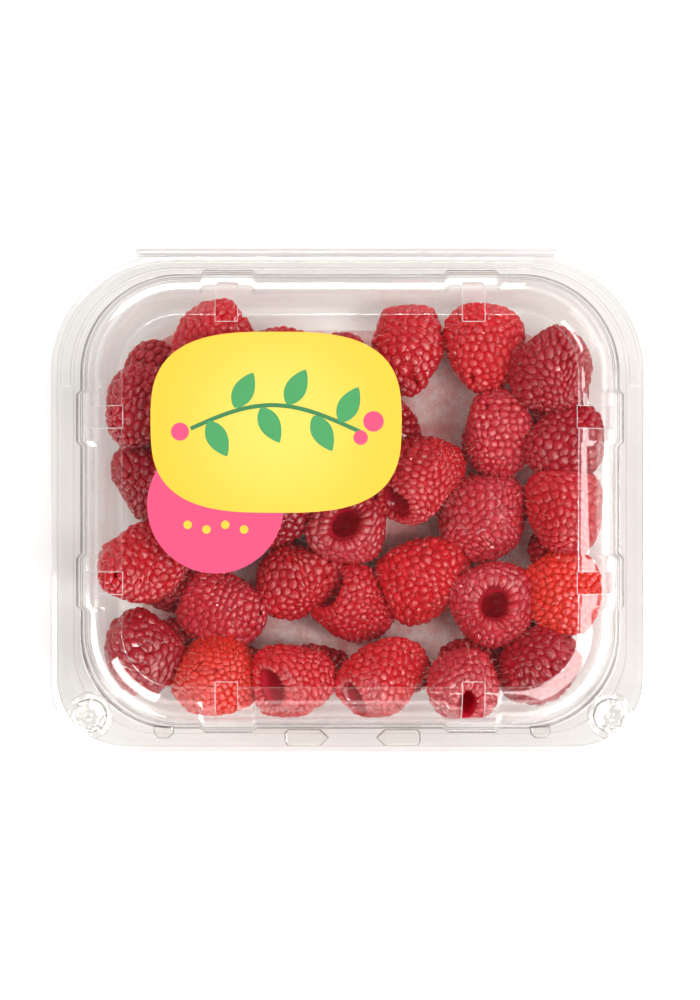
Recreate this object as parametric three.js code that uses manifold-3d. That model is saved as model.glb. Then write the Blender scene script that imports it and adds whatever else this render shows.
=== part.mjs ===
// Hinged clear punnet of raspberries: tray, domed lid, label, absorbent pad and one layer and a
// half of berries. Millimetres, X along the long side, Y towards the hinge, Z up.
import * as THREE from 'three';
import { mergeVertices } from 'three/addons/utils/BufferGeometryUtils.js';
import Module from 'manifold-3d';

const wasm = await Module();
wasm.setup();

// Pack
const packWidth = 143;
const packDepth = 120;
const packHeight = 38;
const sheet = 0.5; // thermoformed sheet, as stiff wall
const seam = 0.3; // between the two flanges
const trayRimZ = 26.1; // upper face of the tray's flange
const lidRimZ = trayRimZ + seam + sheet; // upper face of the lid's flange
const domeTopZ = 37.5;
const labelThickness = 0.3;

// Hinge bead along the back edge
const hingeRadius = 0.8;
const hingeLeft = -51;
const hingeRight = 49.3;
const hingeY = packDepth / 2 - hingeRadius;
const hingeZ = trayRimZ - 0.15;

// Vents on the dome's shoulder, each in a bulge of the wall
const ventX = 29;
const ventY = 19.5;
const ventSide = 5.2;
const ventOver = [41.9, 51.6]; // across the long sides, in from the middle
const ventBeside = [53.3, 62.2]; // across the short sides
const bulgeDepth = 1.06;
const bulgeHalf = 6.75;
const bulgeRamp = 1.35;

// Raised lip of the lid's flange, round the back and part of the sides
const lipEndY = 27;
const lipHeight = 0.9;

// Button locks on the front corners
const buttonX = 62;
const buttonY = -51.4;

const cornerSteps = 6;

// Outlines are rounded rectangles with one radius for the front corners and one for the back
const rimPlan = { halfW: packWidth / 2, front: -packDepth / 2, back: 58.4, rFront: 15.5, rBack: 28 };
const footPlan = { halfW: 63.2, front: -53.7, back: 53.2, rFront: 23, rBack: 23 };
const mouthPlan = { halfW: 62, front: -52.6, back: 52.2, rFront: 22, rBack: 22 };

const grow = (plan, d) => ({
  halfW: plan.halfW + d,
  front: plan.front - d,
  back: plan.back + d,
  rFront: Math.max(plan.rFront + d, 2),
  rBack: Math.max(plan.rBack + d, 2),
});

const between = (a, b, f) =>
  Object.fromEntries(Object.keys(a).map((key) => [key, a[key] * (1 - f) + b[key] * f]));

// Places along each straight side of the lid where the outline can step out or up
const sideStations = (centre) => {
  const near = [-bulgeHalf, -bulgeHalf + bulgeRamp, bulgeHalf - bulgeRamp, bulgeHalf];
  return [-centre, centre].flatMap((c) => near.map((d) => c + d));
};
const stationsX = sideStations(ventX);
const stationsY = [...sideStations(ventY), lipEndY, lipEndY + 0.6];

const inBulge = (along, centre) => Math.abs(Math.abs(along) - centre) < bulgeHalf - bulgeRamp / 2;

// One closed outline, counter-clockwise from above. The plain kind has straight sides; the other
// has the lid's stations, so its bulges and lip can show.
function outline({ plan, z, bulge, lift = 0 }) {
  const { halfW, front, back, rFront, rBack } = plan;
  const [sidesX, sidesY] = bulge === undefined ? [[], []] : [stationsX, stationsY];
  const points = [];
  const put = (x, y) => points.push([x, y, z + (y > lipEndY + 0.3 ? lift : 0)]);
  const corner = (cx, cy, r, start) => {
    for (let i = 0; i <= cornerSteps; i++) {
      const a = start + (i / cornerSteps) * (Math.PI / 2);
      put(cx + r * Math.cos(a), cy + r * Math.sin(a));
    }
  };
  const out = (along, centre) => (inBulge(along, centre) ? bulge : 0);
  for (const y of sidesY) put(halfW + out(y, ventY), y);
  corner(halfW - rBack, back - rBack, rBack, 0);
  for (const x of [...sidesX].reverse()) put(x, back + out(x, ventX));
  corner(rBack - halfW, back - rBack, rBack, Math.PI / 2);
  for (const y of [...sidesY].reverse()) put(-halfW - out(y, ventY), y);
  corner(rFront - halfW, front + rFront, rFront, Math.PI);
  for (const x of sidesX) put(x, front - out(x, ventX));
  corner(halfW - rFront, front + rFront, rFront, 1.5 * Math.PI);
  return points;
}

function signedVolume(points, faces) {
  let sum = 0;
  for (const [a, b, c] of faces) {
    const [p, q, r] = [points[a], points[b], points[c]];
    sum += p[0] * (q[1] * r[2] - q[2] * r[1]) + p[1] * (q[2] * r[0] - q[0] * r[2])
      + p[2] * (q[0] * r[1] - q[1] * r[0]);
  }
  return sum / 6;
}

function geometryOf(points, faces) {
  const turned = signedVolume(points, faces) < 0 ? faces.map(([a, b, c]) => [a, c, b]) : faces;
  const geometry = new THREE.BufferGeometry();
  geometry.setAttribute('position', new THREE.Float32BufferAttribute(points.flat(), 3));
  geometry.setIndex(turned.flat());
  return geometry;
}

// Skin through a stack of outlines, closed at both ends by a fan
function loft(rings) {
  const n = rings[0].length;
  const points = rings.flat();
  const faces = [];
  for (let k = 0; k + 1 < rings.length; k++) {
    for (let i = 0; i < n; i++) {
      const j = (i + 1) % n;
      const [a, b, c, d] = [k * n + i, k * n + j, (k + 1) * n + j, (k + 1) * n + i];
      faces.push([a, b, c], [a, c, d]);
    }
  }
  [0, rings.length - 1].forEach((k) => {
    const ring = rings[k];
    const mean = [0, 1, 2].map((axis) => ring.reduce((sum, p) => sum + p[axis], 0) / n);
    const hub = points.push(mean) - 1;
    for (let i = 0; i < n; i++) {
      const [a, b] = [k * n + i, k * n + ((i + 1) % n)];
      faces.push(k === 0 ? [hub, b, a] : [hub, a, b]);
    }
  });
  return geometryOf(points, faces);
}

// Sheet of even thickness whose upper face follows the profile from its edge to its middle
function formedSheet(profile, thickness) {
  const under = profile.map((ring, i) => {
    const before = profile[Math.max(i - 1, 0)];
    const after = profile[Math.min(i + 1, profile.length - 1)];
    const run = i === 0 ? -1 : after.plan.halfW - before.plan.halfW;
    const rise = i === 0 || i === profile.length - 1 ? 0 : after.z - before.z;
    const length = Math.hypot(run, rise);
    return {
      ...ring,
      plan: grow(ring.plan, (-thickness * rise) / length),
      z: ring.z + (thickness * run) / length,
    };
  });
  return loft([...under.reverse(), ...profile].map(outline));
}

function solidOf(geometry) {
  const bare = geometry.clone();
  bare.deleteAttribute('normal');
  bare.deleteAttribute('uv');
  const merged = mergeVertices(bare, 1e-4);
  return new wasm.Manifold(new wasm.Mesh({
    numProp: 3,
    vertProperties: new Float32Array(merged.attributes.position.array),
    triVerts: new Uint32Array(merged.index.array),
  }));
}

function meshGeometry(solid) {
  const mesh = solid.getMesh();
  const geometry = new THREE.BufferGeometry();
  geometry.setAttribute('position', new THREE.BufferAttribute(mesh.vertProperties, 3));
  geometry.setIndex(new THREE.BufferAttribute(mesh.triVerts, 1));
  return geometry;
}

const joined = (solids) => solids.reduce((whole, piece) => whole.add(piece));
const cut = (whole, tools) => tools.reduce((left, tool) => left.subtract(tool), whole);

const block = (x0, x1, y0, y1, z0, z1) =>
  solidOf(new THREE.BoxGeometry(x1 - x0, y1 - y0, z1 - z0)
    .translate((x0 + x1) / 2, (y0 + y1) / 2, (z0 + z1) / 2));

const post = (x, y, z0, z1, rBottom, rTop, sides = 16) =>
  solidOf(new THREE.CylinderGeometry(rTop, rBottom, z1 - z0, sides)
    .rotateX(Math.PI / 2).translate(x, y, (z0 + z1) / 2));

const slab = (corners, z0, z1) => {
  const shape = new THREE.Shape(corners.map(([x, y]) => new THREE.Vector2(x, y)));
  const geometry = new THREE.ExtrudeGeometry(shape, { depth: z1 - z0, bevelEnabled: false });
  return solidOf(geometry.translate(0, 0, z0));
};

// Tray: flat flange, a stacking ledge under it, tapered wall and a rounded foot
function makeTray() {
  const profile = [
    { plan: rimPlan, z: trayRimZ },
    { plan: grow(mouthPlan, 0.6), z: trayRimZ },
    { plan: grow(mouthPlan, -0.1), z: trayRimZ - 0.7 },
    { plan: grow(mouthPlan, -0.5), z: 21.8 },
    { plan: grow(mouthPlan, -1.6), z: 21 },
    { plan: grow(mouthPlan, -5.4), z: 4.6 },
    { plan: grow(mouthPlan, -6.6), z: 1.7 },
    { plan: grow(mouthPlan, -9.4), z: sheet },
  ];
  const bead = solidOf(new THREE.CylinderGeometry(hingeRadius, hingeRadius, hingeRight - hingeLeft, 12)
    .rotateZ(Math.PI / 2).translate((hingeLeft + hingeRight) / 2, hingeY, hingeZ));
  const web = block(hingeLeft, hingeRight, 56.4, hingeY, trayRimZ - sheet, trayRimZ);
  const studs = [-1, 1].map((side) =>
    post(side * buttonX, buttonY, trayRimZ - sheet / 2, trayRimZ + 1.1, 4.1, 3.9));
  return joined([solidOf(formedSheet(profile, sheet)), bead, web, ...studs]);
}

// Lid: lipped flange, upright dome wall with a ledge, round shoulder and flat top
function makeLid() {
  const rim = grow(rimPlan, -0.5);
  const profile = [
    { plan: rim, z: lidRimZ, bulge: 0 },
    { plan: between(rim, footPlan, 0.2), z: lidRimZ, bulge: 0 },
    { plan: between(rim, footPlan, 0.3), z: lidRimZ, bulge: 0, lift: lipHeight },
    { plan: between(rim, footPlan, 0.62), z: lidRimZ, bulge: 0, lift: lipHeight },
    { plan: between(rim, footPlan, 0.74), z: lidRimZ, bulge: 0 },
    { plan: footPlan, z: lidRimZ, bulge: bulgeDepth },
    { plan: grow(footPlan, -2), z: 31.4, bulge: bulgeDepth },
    { plan: grow(footPlan, -3.7), z: 32.2, bulge: bulgeDepth },
    { plan: grow(footPlan, -4.9), z: 34.6, bulge: bulgeDepth * 0.7 },
    { plan: grow(footPlan, -6.6), z: 36.4, bulge: bulgeDepth * 0.3 },
    { plan: grow(footPlan, -9.8), z: domeTopZ, bulge: 0 },
  ];
  const flangeZ = lidRimZ - sheet;
  const buttons = [-1, 1].map((side) => post(side * buttonX, buttonY, flangeZ, 28.2, 5.7, 5.2));
  const lugs = [-1, 1].map((side) => slab(
    [[16.2, -58.6], [16.2, -54.5], [7.6, -54.5], [5.6, -56.5], [7.6, -58.6]]
      .map(([x, y]) => [side * x + 0.6, y]).reverse(),
    flangeZ, lidRimZ + 1));
  const clips = [-44.4, 45.3].flatMap((x) => [
    slab([[-2.4, -53], [-2.4, -55.6], [-1.2, -56.8], [1.2, -56.8], [2.4, -55.6], [2.4, -53]]
      .map(([dx, y]) => [x + dx, y]), flangeZ, lidRimZ + 0.9),
    block(x - 3.3, x + 3.3, 50.6, 54.2, flangeZ, lidRimZ + 2.2),
  ]);
  const vents = [-1, 1].flatMap((side) => [-1, 1].flatMap((end) => {
    const [x, y, half] = [end * ventX, end * ventY, ventSide / 2];
    const reach = ([from, to]) => (side > 0 ? [from, to] : [-to, -from]);
    return [
      block(x - half, x + half, ...reach(ventOver).map((v) => v - (side > 0 ? 0 : 0.8)), 31, 40),
      block(...reach(ventBeside), y - half, y + half, 31, 40),
    ];
  }));
  const hollows = [-1, 1].flatMap((side) => [
    post(side * buttonX, buttonY, flangeZ - 1, 27.7, 4.9, 4.7),
    post(side * buttonX, buttonY, 27.95, 29, 2.9, 3.1),
  ]);
  return cut(joined([solidOf(formedSheet(profile, sheet)), ...buttons, ...lugs, ...clips]),
    [...vents, ...hollows]);
}

// Label: a broad superellipse panel with a round tag below its left end
function makeLabel() {
  const panel = { x: -17.3, y: 18.2, halfW: 29.4, halfH: 21.2, power: 3 };
  const tag = { x: -31.5, y: -1.2, radius: 16 };
  const steps = 40;
  const squared = (v) => Math.sign(v) * Math.abs(v) ** (2 / panel.power);
  const turn = (draw) => Array.from({ length: steps }, (_, i) => draw((i / steps) * 2 * Math.PI));
  const z = [packHeight - labelThickness, packHeight];
  return slab(turn((a) => [panel.x + panel.halfW * squared(Math.cos(a)),
    panel.y + panel.halfH * squared(Math.sin(a))]), ...z)
    .add(slab(turn((a) => [tag.x + tag.radius * Math.cos(a), tag.y + tag.radius * Math.sin(a)]), ...z));
}

// Absorbent pad with softly rounded edges
function makePad() {
  const plan = { halfW: 51.4, front: -42.2, back: 42, rFront: 12, rBack: 12 };
  return solidOf(loft([
    outline({ plan: grow(plan, -0.6), z: 0.85 }),
    outline({ plan, z: 1.3 }),
    outline({ plan, z: 2.1 }),
    outline({ plan: grow(plan, -0.8), z: padTopZ }),
  ]));
}

// Berries
const padTopZ = 2.6;
const berryFloor = padTopZ + seam;
const berryCeiling = 32;
const nestling = 0.82; // how far soft berries sink into each other
const sides = 8;
const sidesBelow = 6; // of the small berries under the others

// Each berry: middle x and y, widest radius, length, where its tip points (degrees round from +X,
// degrees up) and whether its hollow is open to view. Lower berries come first.
const berryList = [
  [-43, -20.1, 8, 18, -30, 0], [-24.1, -45, 7.5, 18, 0, 5], [-46.5, 31, 8.6, 18, 120, 0],
  [-44, -37, 7.4, 16, 60, 0], [-7, -42, 7.2, 16, 20, 0], [12, -41, 7.2, 16, 0, 0], [31, -40, 7.6, 17, 20, 0],
  [48, -34, 7.6, 16, 90, 0], [52, -9, 7.6, 17, 80, 0],
  [-16.1, 34.4, 9.5, 20, 30, 20], [55, 25.5, 7.6, 17, 40, 0], [8.6, 15, 9, 20, 100, 10],
  [-35, 17.5, 9.5, 21, 10, 10], [-20, 14.5, 9.4, 20, 140, 15], [-2.5, 31, 9.2, 20, 80, 20],
  [-31, -5.5, 9.6, 20, 250, 10], [-16.5, -1.5, 9.2, 20, 30, 25], [-4.5, 15.5, 9.4, 20, 0, 20],
  [-11.7, -19.1, 9.2, 20, 15, 15], [1.8, -26.2, 9.3, 20, -36, -30, 1], [-30.4, -26.9, 9.8, 21, -20, 10],
  [18.8, -18.4, 9.7, 21.5, 20, 10], [-12, -43.9, 9.6, 20, 10, -42, 1], [8.8, -42, 9.6, 23.5, 34, -33, 1],
  [27.2, -44.2, 8.8, 19, 100, -60, 1], [35.2, -25.2, 10.8, 20, 0, -86, 1], [-0.6, -6.3, 10.4, 19, 0, -86, 1],
  [17.8, 6.3, 9.6, 24, 42, -32, 1], [13.9, 36.3, 8.9, 22, -95, 28], [32.8, 36, 10, 21, -90, 20],
  [36.2, 17.4, 10.2, 21, 90, 35], [49.3, 31.8, 10.3, 21, 60, 55], [52.4, 13.1, 9.6, 20, 200, 20],
  [51.7, -3.9, 9.4, 20, -90, 20], [33.8, -2.9, 11, 22, 20, 50], [52.6, -23.5, 9.6, 20, -60, 20],
  [46.7, -40.2, 10.4, 21, 30, 70], [-34.3, 37, 10.2, 21, 215, 10], [-51, 21.5, 9.4, 20, 250, 30],
  [-48.3, 5.3, 10.4, 22, 170, 25], [-51.3, -15.7, 9.8, 20, 200, 30], [-49.8, -36.3, 10.4, 21, 60, 70],
  [-32.8, -43.8, 10.4, 21, 100, 75],
].map(([x, y, radius, length, turn, up, open = 0]) => ({ x, y, radius, length, turn, up, open }));

// Inside of the tray's tapered wall at a height
const wallPlan = (z) => grow(mouthPlan, -0.8 - 0.235 * Math.max(21 - z, 0));

// Moves a berry in from the wall until it only lies pressed against it
function keepInside(x, y, z, radius) {
  const { halfW, front, back, rFront } = wallPlan(z);
  const middle = (front + back) / 2;
  const [px, py] = [Math.abs(x) - (halfW - rFront), Math.abs(y - middle) - ((back - front) / 2 - rFront)];
  const [ox, oy] = [Math.max(px, 0), Math.max(py, 0)];
  const inner = Math.min(Math.max(px, py), 0);
  const excess = Math.hypot(ox, oy) + inner - rFront + 0.88 * radius;
  if (excess <= 0) return [x, y];
  const along = Math.hypot(ox, oy) || 1;
  const [nx, ny] = ox || oy ? [ox / along, oy / along] : (px > py ? [1, 0] : [0, 1]);
  return [x - Math.sign(x) * nx * excess, y - Math.sign(y - middle) * ny * excess];
}

// Lets each berry down until it rests on the pad or on the berries already there
function settle(list) {
  const placed = [];
  for (const berry of list) {
    const tilt = Math.abs(Math.sin(THREE.MathUtils.degToRad(berry.up)));
    const room = berry.radius + Math.max(berry.length / 2 - berry.radius, 0) * tilt;
    let { x, y } = berry;
    let z = berryFloor + berry.radius;
    for (let pass = 0; pass < 2; pass++) {
      for (const other of placed) {
        const reach = nestling * (berry.radius + other.radius);
        const apart = Math.hypot(x - other.x, y - other.y);
        if (apart < reach) z = Math.max(z, other.z + Math.sqrt(reach ** 2 - apart ** 2));
      }
      z = Math.min(z, berryCeiling - room);
      [x, y] = keepInside(x, y, z, berry.radius);
    }
    placed.push({ ...berry, x, y, z });
  }
  return placed;
}

// Thimble of drupelets: rings of alternating bumps from the hollow's rim to the tip
function berrySolid({ x, y, z, radius, length, turn, up, open }) {
  const hollow = open ? [[0, 0.5], [0.3, 0.42], [0.38, 0.1]] : [[0, 0.04]];
  const small = length < 18.5;
  const body = small
    ? [[0.8, 0.04], [1, 0.4], [0.74, 0.86], [0, 1]]
    : [[0.64, 0], [0.96, 0.16], [1, 0.42], [0.85, 0.72], [0.5, 0.93], [0, 1]];
  const profile = [...hollow, ...body];
  const around = small ? sidesBelow : sides;
  const rings = profile.slice(1, -1).map(([r, h], k) => Array.from({ length: around }, (_, i) => {
    const bump = r > 0.5 ? 1 + 0.05 * (-1) ** (i + k) : 1;
    const a = ((i + 0.5 * (k % 2)) / around) * 2 * Math.PI;
    return [radius * r * bump * Math.cos(a), radius * r * bump * Math.sin(a), length * (h - 0.5)];
  }));
  const geometry = loft(rings);
  const heights = [profile[0][1], profile[profile.length - 1][1]];
  const hubs = geometry.attributes.position;
  heights.forEach((h, k) => hubs.setXYZ(hubs.count - 2 + k, 0, 0, length * (h - 0.5)));
  const toTip = new THREE.Vector3().setFromSphericalCoords(1,
    THREE.MathUtils.degToRad(90 - up), THREE.MathUtils.degToRad(turn + 90));
  const axis = new THREE.Vector3(toTip.x, -toTip.z, toTip.y);
  geometry.applyQuaternion(new THREE.Quaternion().setFromUnitVectors(new THREE.Vector3(0, 0, 1), axis));
  return solidOf(geometry.translate(x, y, z));
}

// Bridge between the middles of two berries, part of the core that holds the heap in one piece
function bridge(a, b) {
  const [from, to] = [a, b].map(({ x, y, z }) => new THREE.Vector3(x, y, z));
  const along = to.clone().sub(from);
  return solidOf(new THREE.CylinderGeometry(2.6, 2.6, along.length(), 6)
    .applyQuaternion(new THREE.Quaternion().setFromUnitVectors(new THREE.Vector3(0, 1, 0),
      along.clone().normalize()))
    .translate(...from.add(to).multiplyScalar(0.5)));
}

// Room inside the closed pack, just clear of the plastic, that the outer berries lie against
const innerRoom = () => solidOf(loft([
  [-6.6, berryFloor], [-5.9, 4.6], [-2.1, 20.8], [-0.9, 21.8], [-0.5, 25.4], [-0.5, 27.6],
  [-1.9, 30.6], [-4.6, berryCeiling],
].map(([inset, z]) => outline({ plan: grow(mouthPlan, inset), z }))));

function makeBerries() {
  const heap = settle(berryList);
  const bridges = heap.slice(1).map((berry, i) => {
    const gap = (other) => Math.hypot(berry.x - other.x, berry.y - other.y, berry.z - other.z);
    return bridge(berry, heap.slice(0, i + 1).reduce((best, o) => (gap(o) < gap(best) ? o : best)));
  });
  const whole = joined([...heap.map(berrySolid), ...bridges]).intersect(innerRoom());
  return whole.decompose().reduce((best, piece) => (piece.volume() > best.volume() ? piece : best));
}

const clearPlastic = () => new THREE.MeshStandardMaterial(
  { color: 0xe6ebea, roughness: 0.08, metalness: 0, transparent: true, opacity: 0.3 });
const matt = (color, roughness) => new THREE.MeshStandardMaterial({ color, roughness, metalness: 0 });

const group = new THREE.Group();
function add(name, solid, material) {
  const mesh = new THREE.Mesh(meshGeometry(solid), material);
  mesh.name = name;
  group.add(mesh);
}

add('base_tray', makeTray(), clearPlastic());
add('lid', makeLid(), clearPlastic());
add('label', makeLabel(), matt(0xffd84a, 0.45));
add('pad', makePad(), matt(0xece6e4, 0.95));
add('raspberries', makeBerries(), matt(0xc42a35, 0.4));

export default group;
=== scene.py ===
# Shut clear punnet of raspberries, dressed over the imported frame. Sizes are in millimetres until
# meshObject turns them to metres.
import math

import bmesh
import bpy
import numpy as np
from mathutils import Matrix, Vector


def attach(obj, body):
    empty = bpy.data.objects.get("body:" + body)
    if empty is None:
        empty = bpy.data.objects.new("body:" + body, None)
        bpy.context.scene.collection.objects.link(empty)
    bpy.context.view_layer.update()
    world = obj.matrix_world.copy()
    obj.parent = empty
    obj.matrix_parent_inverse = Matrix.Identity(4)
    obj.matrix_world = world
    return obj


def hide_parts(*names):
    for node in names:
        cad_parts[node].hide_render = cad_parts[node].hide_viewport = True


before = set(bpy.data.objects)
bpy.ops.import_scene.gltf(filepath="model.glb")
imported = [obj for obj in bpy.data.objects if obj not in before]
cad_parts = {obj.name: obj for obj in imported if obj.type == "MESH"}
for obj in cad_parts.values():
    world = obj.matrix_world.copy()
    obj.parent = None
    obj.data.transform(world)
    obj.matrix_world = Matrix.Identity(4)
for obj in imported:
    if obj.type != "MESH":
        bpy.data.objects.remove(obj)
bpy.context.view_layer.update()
mm = 0.001


# small helpers

def linearColor(hexCode):
    parts = [int(hexCode[i:i + 2], 16) / 255 for i in (1, 3, 5)]
    return [c / 12.92 if c <= 0.04045 else ((c + 0.055) / 1.055) ** 2.4 for c in parts] + [1.0]


def addNode(tree, kind, links=None, **settings):
    node = tree.nodes.new("ShaderNode" + kind)
    for key, value in settings.items():
        setattr(node, key, value)
    for socket, value in (links or {}).items():
        if isinstance(value, bpy.types.NodeSocket):
            tree.links.new(value, node.inputs[socket])
        else:
            node.inputs[socket].default_value = value
    return node


def newMaterial(name):
    material = bpy.data.materials.new(name)
    material.use_nodes = True
    material.node_tree.nodes.clear()
    return material, material.node_tree


def finishMaterial(tree, shader, bump=None):
    addNode(tree, "OutputMaterial", {"Surface": shader.outputs[0]})
    if bump:
        tree.links.new(bump.outputs[0], shader.inputs["Normal"])


def meshObject(name, points, faces, materials, body, smooth=True, faceMaterial=None):
    # points in millimetres, every face with the same number of corners
    mesh = bpy.data.meshes.new(name)
    points = np.asarray(points, dtype=np.float32) * mm
    faces = np.asarray(faces, dtype=np.int32)
    mesh.vertices.add(len(points))
    mesh.vertices.foreach_set("co", points.ravel())
    mesh.loops.add(faces.size)
    mesh.loops.foreach_set("vertex_index", faces.ravel())
    mesh.polygons.add(len(faces))
    mesh.polygons.foreach_set("loop_start", np.arange(0, faces.size, faces.shape[1], dtype=np.int32))
    mesh.polygons.foreach_set("use_smooth", np.full(len(faces), smooth))
    if faceMaterial is not None:
        mesh.polygons.foreach_set("material_index", np.asarray(faceMaterial, dtype=np.int32))
    mesh.update(calc_edges=True)
    mesh.validate()
    for material in materials:
        mesh.materials.append(material)
    piece = bpy.data.objects.new(name, mesh)
    bpy.context.collection.objects.link(piece)
    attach(piece, body)
    return piece


def smoothStep(value):
    value = np.clip(value, 0.0, 1.0)
    return value * value * (3 - 2 * value)


def valueNoise(points, seed, size):
    # smooth seeded noise from a few sine waves, about -1 to 1
    draw = np.random.default_rng(seed)
    total = np.zeros(len(points))
    for _ in range(7):
        direction = draw.normal(size=3)
        direction /= np.linalg.norm(direction)
        length = size * draw.uniform(0.7, 1.5)
        total += np.sin(points @ direction * 2 * math.pi / length + draw.uniform(0, 6.3))
    return total / 3.5


# the pack's shape, the same named sizes as the frame

pack = {
    "rim": (71.5, -60.0, 58.4, 15.5, 28.0),   # half width, front, back, front and back corner radius
    "foot": (63.2, -53.7, 53.2, 23.0, 23.0),  # foot of the lid's dome
    "mouth": (62.0, -52.6, 52.2, 22.0, 22.0),  # inside of the tray at its flange
    "trayRimZ": 26.1,
    "lidRimZ": 26.9,
    "domeTopZ": 37.5,
    "sheet": 0.42,         # thickness of the plastic
    "ventX": 29.0,         # middles of the vents along the long and the short sides
    "ventY": 19.5,
    "ventSide": 5.2,
    "ventOver": (41.9, 51.6),    # how far in from the middle each vent reaches, across the long sides
    "ventBeside": (53.3, 62.2),  # and across the short sides
    "ventShift": 0.8,            # the front ones lie this much further out
    "ventCut": (31, 40),         # heights between which the vents are cut
    "bulge": 1.06,         # how far the dome's foot swells out at each vent
    "bulgeHalf": 6.75,     # half its length along the side
    "bulgeRamp": 1.1,      # and the slope at each end
    "lipEndY": 27.0,       # the raised lip runs round the back from here
    "lipRamp": 0.8,
    "lipHeight": 0.9,
    "buttonX": 62.0,
    "buttonY": -51.4,
    "hingeLeft": -51.0,
    "hingeRight": 49.3,
    "hingeY": 59.2,
    "hingeZ": 25.95,
    "cornerSteps": 18,     # strips round each corner
}
rimPlan, footPlan, mouthPlan = (np.array(pack[key]) for key in ("rim", "foot", "mouth"))
outward = np.array([1, -1, 1, 1, 1])


def growPlan(plan, d):
    grown = plan + d * outward
    grown[3:] = np.maximum(grown[3:], 1.0)
    return grown


def bulgeWeight(along, centre):
    return np.clip((pack["bulgeHalf"] - np.abs(np.abs(along) - centre)) / pack["bulgeRamp"], 0, 1)


def sideStations(centre):
    # where an outline has points along a side: close together on the ramps of its two bulges
    ramp = np.array([5.4, 5.6, 5.7, 5.85, 6.55, 6.7, 6.8, 7.0])
    near = np.concatenate([-ramp[::-1], [-2.6, 2.6], ramp])
    return np.concatenate([near - centre, [-8.0, 0.0, 8.0], near + centre])


lipStations = pack["lipEndY"] + np.array([0.0, 0.25, 0.5, pack["lipRamp"]])
stationsX = sideStations(pack["ventX"])
stationsY = np.concatenate([sideStations(pack["ventY"]), lipStations])


def outline(plan, z, bulge=0.0, lift=0.0):
    # one closed outline, counter-clockwise from above, always the same number of points
    halfW, front, back, rFront, rBack = plan
    outX = bulge * bulgeWeight(stationsX, pack["ventX"])
    outY = bulge * bulgeWeight(stationsY, pack["ventY"])

    def corner(cx, cy, r, start):
        a = start + np.linspace(0, math.pi / 2, pack["cornerSteps"] + 1)
        return np.stack([cx + r * np.cos(a), cy + r * np.sin(a)], 1)

    xy = np.concatenate([
        np.stack([halfW + outY, stationsY], 1),
        corner(halfW - rBack, back - rBack, rBack, 0),
        np.stack([stationsX, back + outX], 1)[::-1],
        corner(rBack - halfW, back - rBack, rBack, math.pi / 2),
        np.stack([-halfW - outY, stationsY], 1)[::-1],
        corner(rFront - halfW, front + rFront, rFront, math.pi),
        np.stack([stationsX, front - outX], 1),
        corner(halfW - rFront, front + rFront, rFront, 1.5 * math.pi),
    ])
    rise = lift * smoothStep((xy[:, 1] - pack["lipEndY"]) / pack["lipRamp"])
    return np.column_stack([xy, z + rise])


def roundCorners(profile, steps=3, hold=0.07):
    # profile points are (distance in from the rim, height, corner radius, fold); gives the rounded
    # points and, for the strip that ends at each, the kind of fold it is
    spots, folds = [np.array(profile[0][:2], dtype=float)], [0]
    for before, here, after in zip(profile, profile[1:], profile[2:]):
        p, a, b = (np.array(v[:2], dtype=float) for v in (here, before, after))
        toA, toB = np.linalg.norm(a - p), np.linalg.norm(b - p)
        ua, ub = (a - p) / toA, (b - p) / toB
        reach = min(here[2], 0.4 * toA, 0.4 * toB)
        if reach < 0.02:
            spots.append(p)
            folds.append(here[3])
            continue
        if toA > 2.4 * (reach + hold):
            spots.append(p + ua * (reach + hold))
            folds.append(0)
        for t in np.linspace(0, 1, steps + 1):
            spots.append((1 - t) ** 2 * (p + ua * reach) + 2 * t * (1 - t) * p + t * t * (p + ub * reach))
            folds.append(here[3] if t else 0)
        if toB > 2.4 * (reach + hold):
            spots.append(p + ub * (reach + hold))
            folds.append(0)
    spots.append(np.array(profile[-1][:2], dtype=float))
    folds.append(0)
    return np.array(spots), folds


def loftFaces(rings, n):
    k, i = np.meshgrid(np.arange(rings - 1), np.arange(n), indexing="ij")
    j = (i + 1) % n
    quads = np.stack([k * n + i, k * n + j, (k + 1) * n + j, (k + 1) * n + i], -1).reshape(-1, 4)
    return np.concatenate([quads[:, [0, 1, 2]], quads[:, [0, 2, 3]]])


def closedLoft(rings):
    # skin over the rings with both ends closed, facing outward
    n = len(rings[0])
    points = np.concatenate(rings + [rings[0].mean(0)[None], rings[-1].mean(0)[None]])
    faces = loftFaces(len(rings), n)
    first, last = len(points) - 2, len(points) - 1
    i = np.arange(n)
    j = (i + 1) % n
    top = (len(rings) - 1) * n
    faces = np.concatenate([faces, np.stack([np.full(n, first), j, i], 1),
                            np.stack([np.full(n, last), top + i, top + j], 1)])
    a, b, c = (points[faces[:, k]] for k in range(3))
    if (a * np.cross(b, c)).sum() < 0:
        faces = faces[:, ::-1]
    return points, faces


def formedSheet(profile, width, near, far, bulgeAt, liftAt):
    # a sheet of even thickness; the profile is its upper face, from the rim to the middle, and its
    # outline changes from near to far over the width
    spots, folds = profile
    tangents = np.gradient(spots, axis=0)
    tangents[0] = (1, 0)
    tangents[-1] = (1, 0)
    normals = np.stack([-tangents[:, 1], tangents[:, 0]], 1)
    normals /= np.linalg.norm(normals, axis=1)[:, None]
    rings = []
    for under, points in ((True, spots - pack["sheet"] * normals), (False, spots)):
        ringSet = []
        for (d, z), (dTop, _) in zip(points, spots):
            plan = near + (far - near) * (d / width) if dTop < width else growPlan(far, width - d)
            ringSet.append(outline(plan, z, bulgeAt(dTop), liftAt(dTop)))
        rings += ringSet[::-1] if under else ringSet
    points, faces = closedLoft(rings)
    strips = folds[:0:-1] + [0] + folds[1:]
    n = len(rings[0])
    kinds = np.concatenate([np.tile(np.repeat(strips, n), 2), np.zeros(2 * n, dtype=int)])
    return points, faces, kinds


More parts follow.
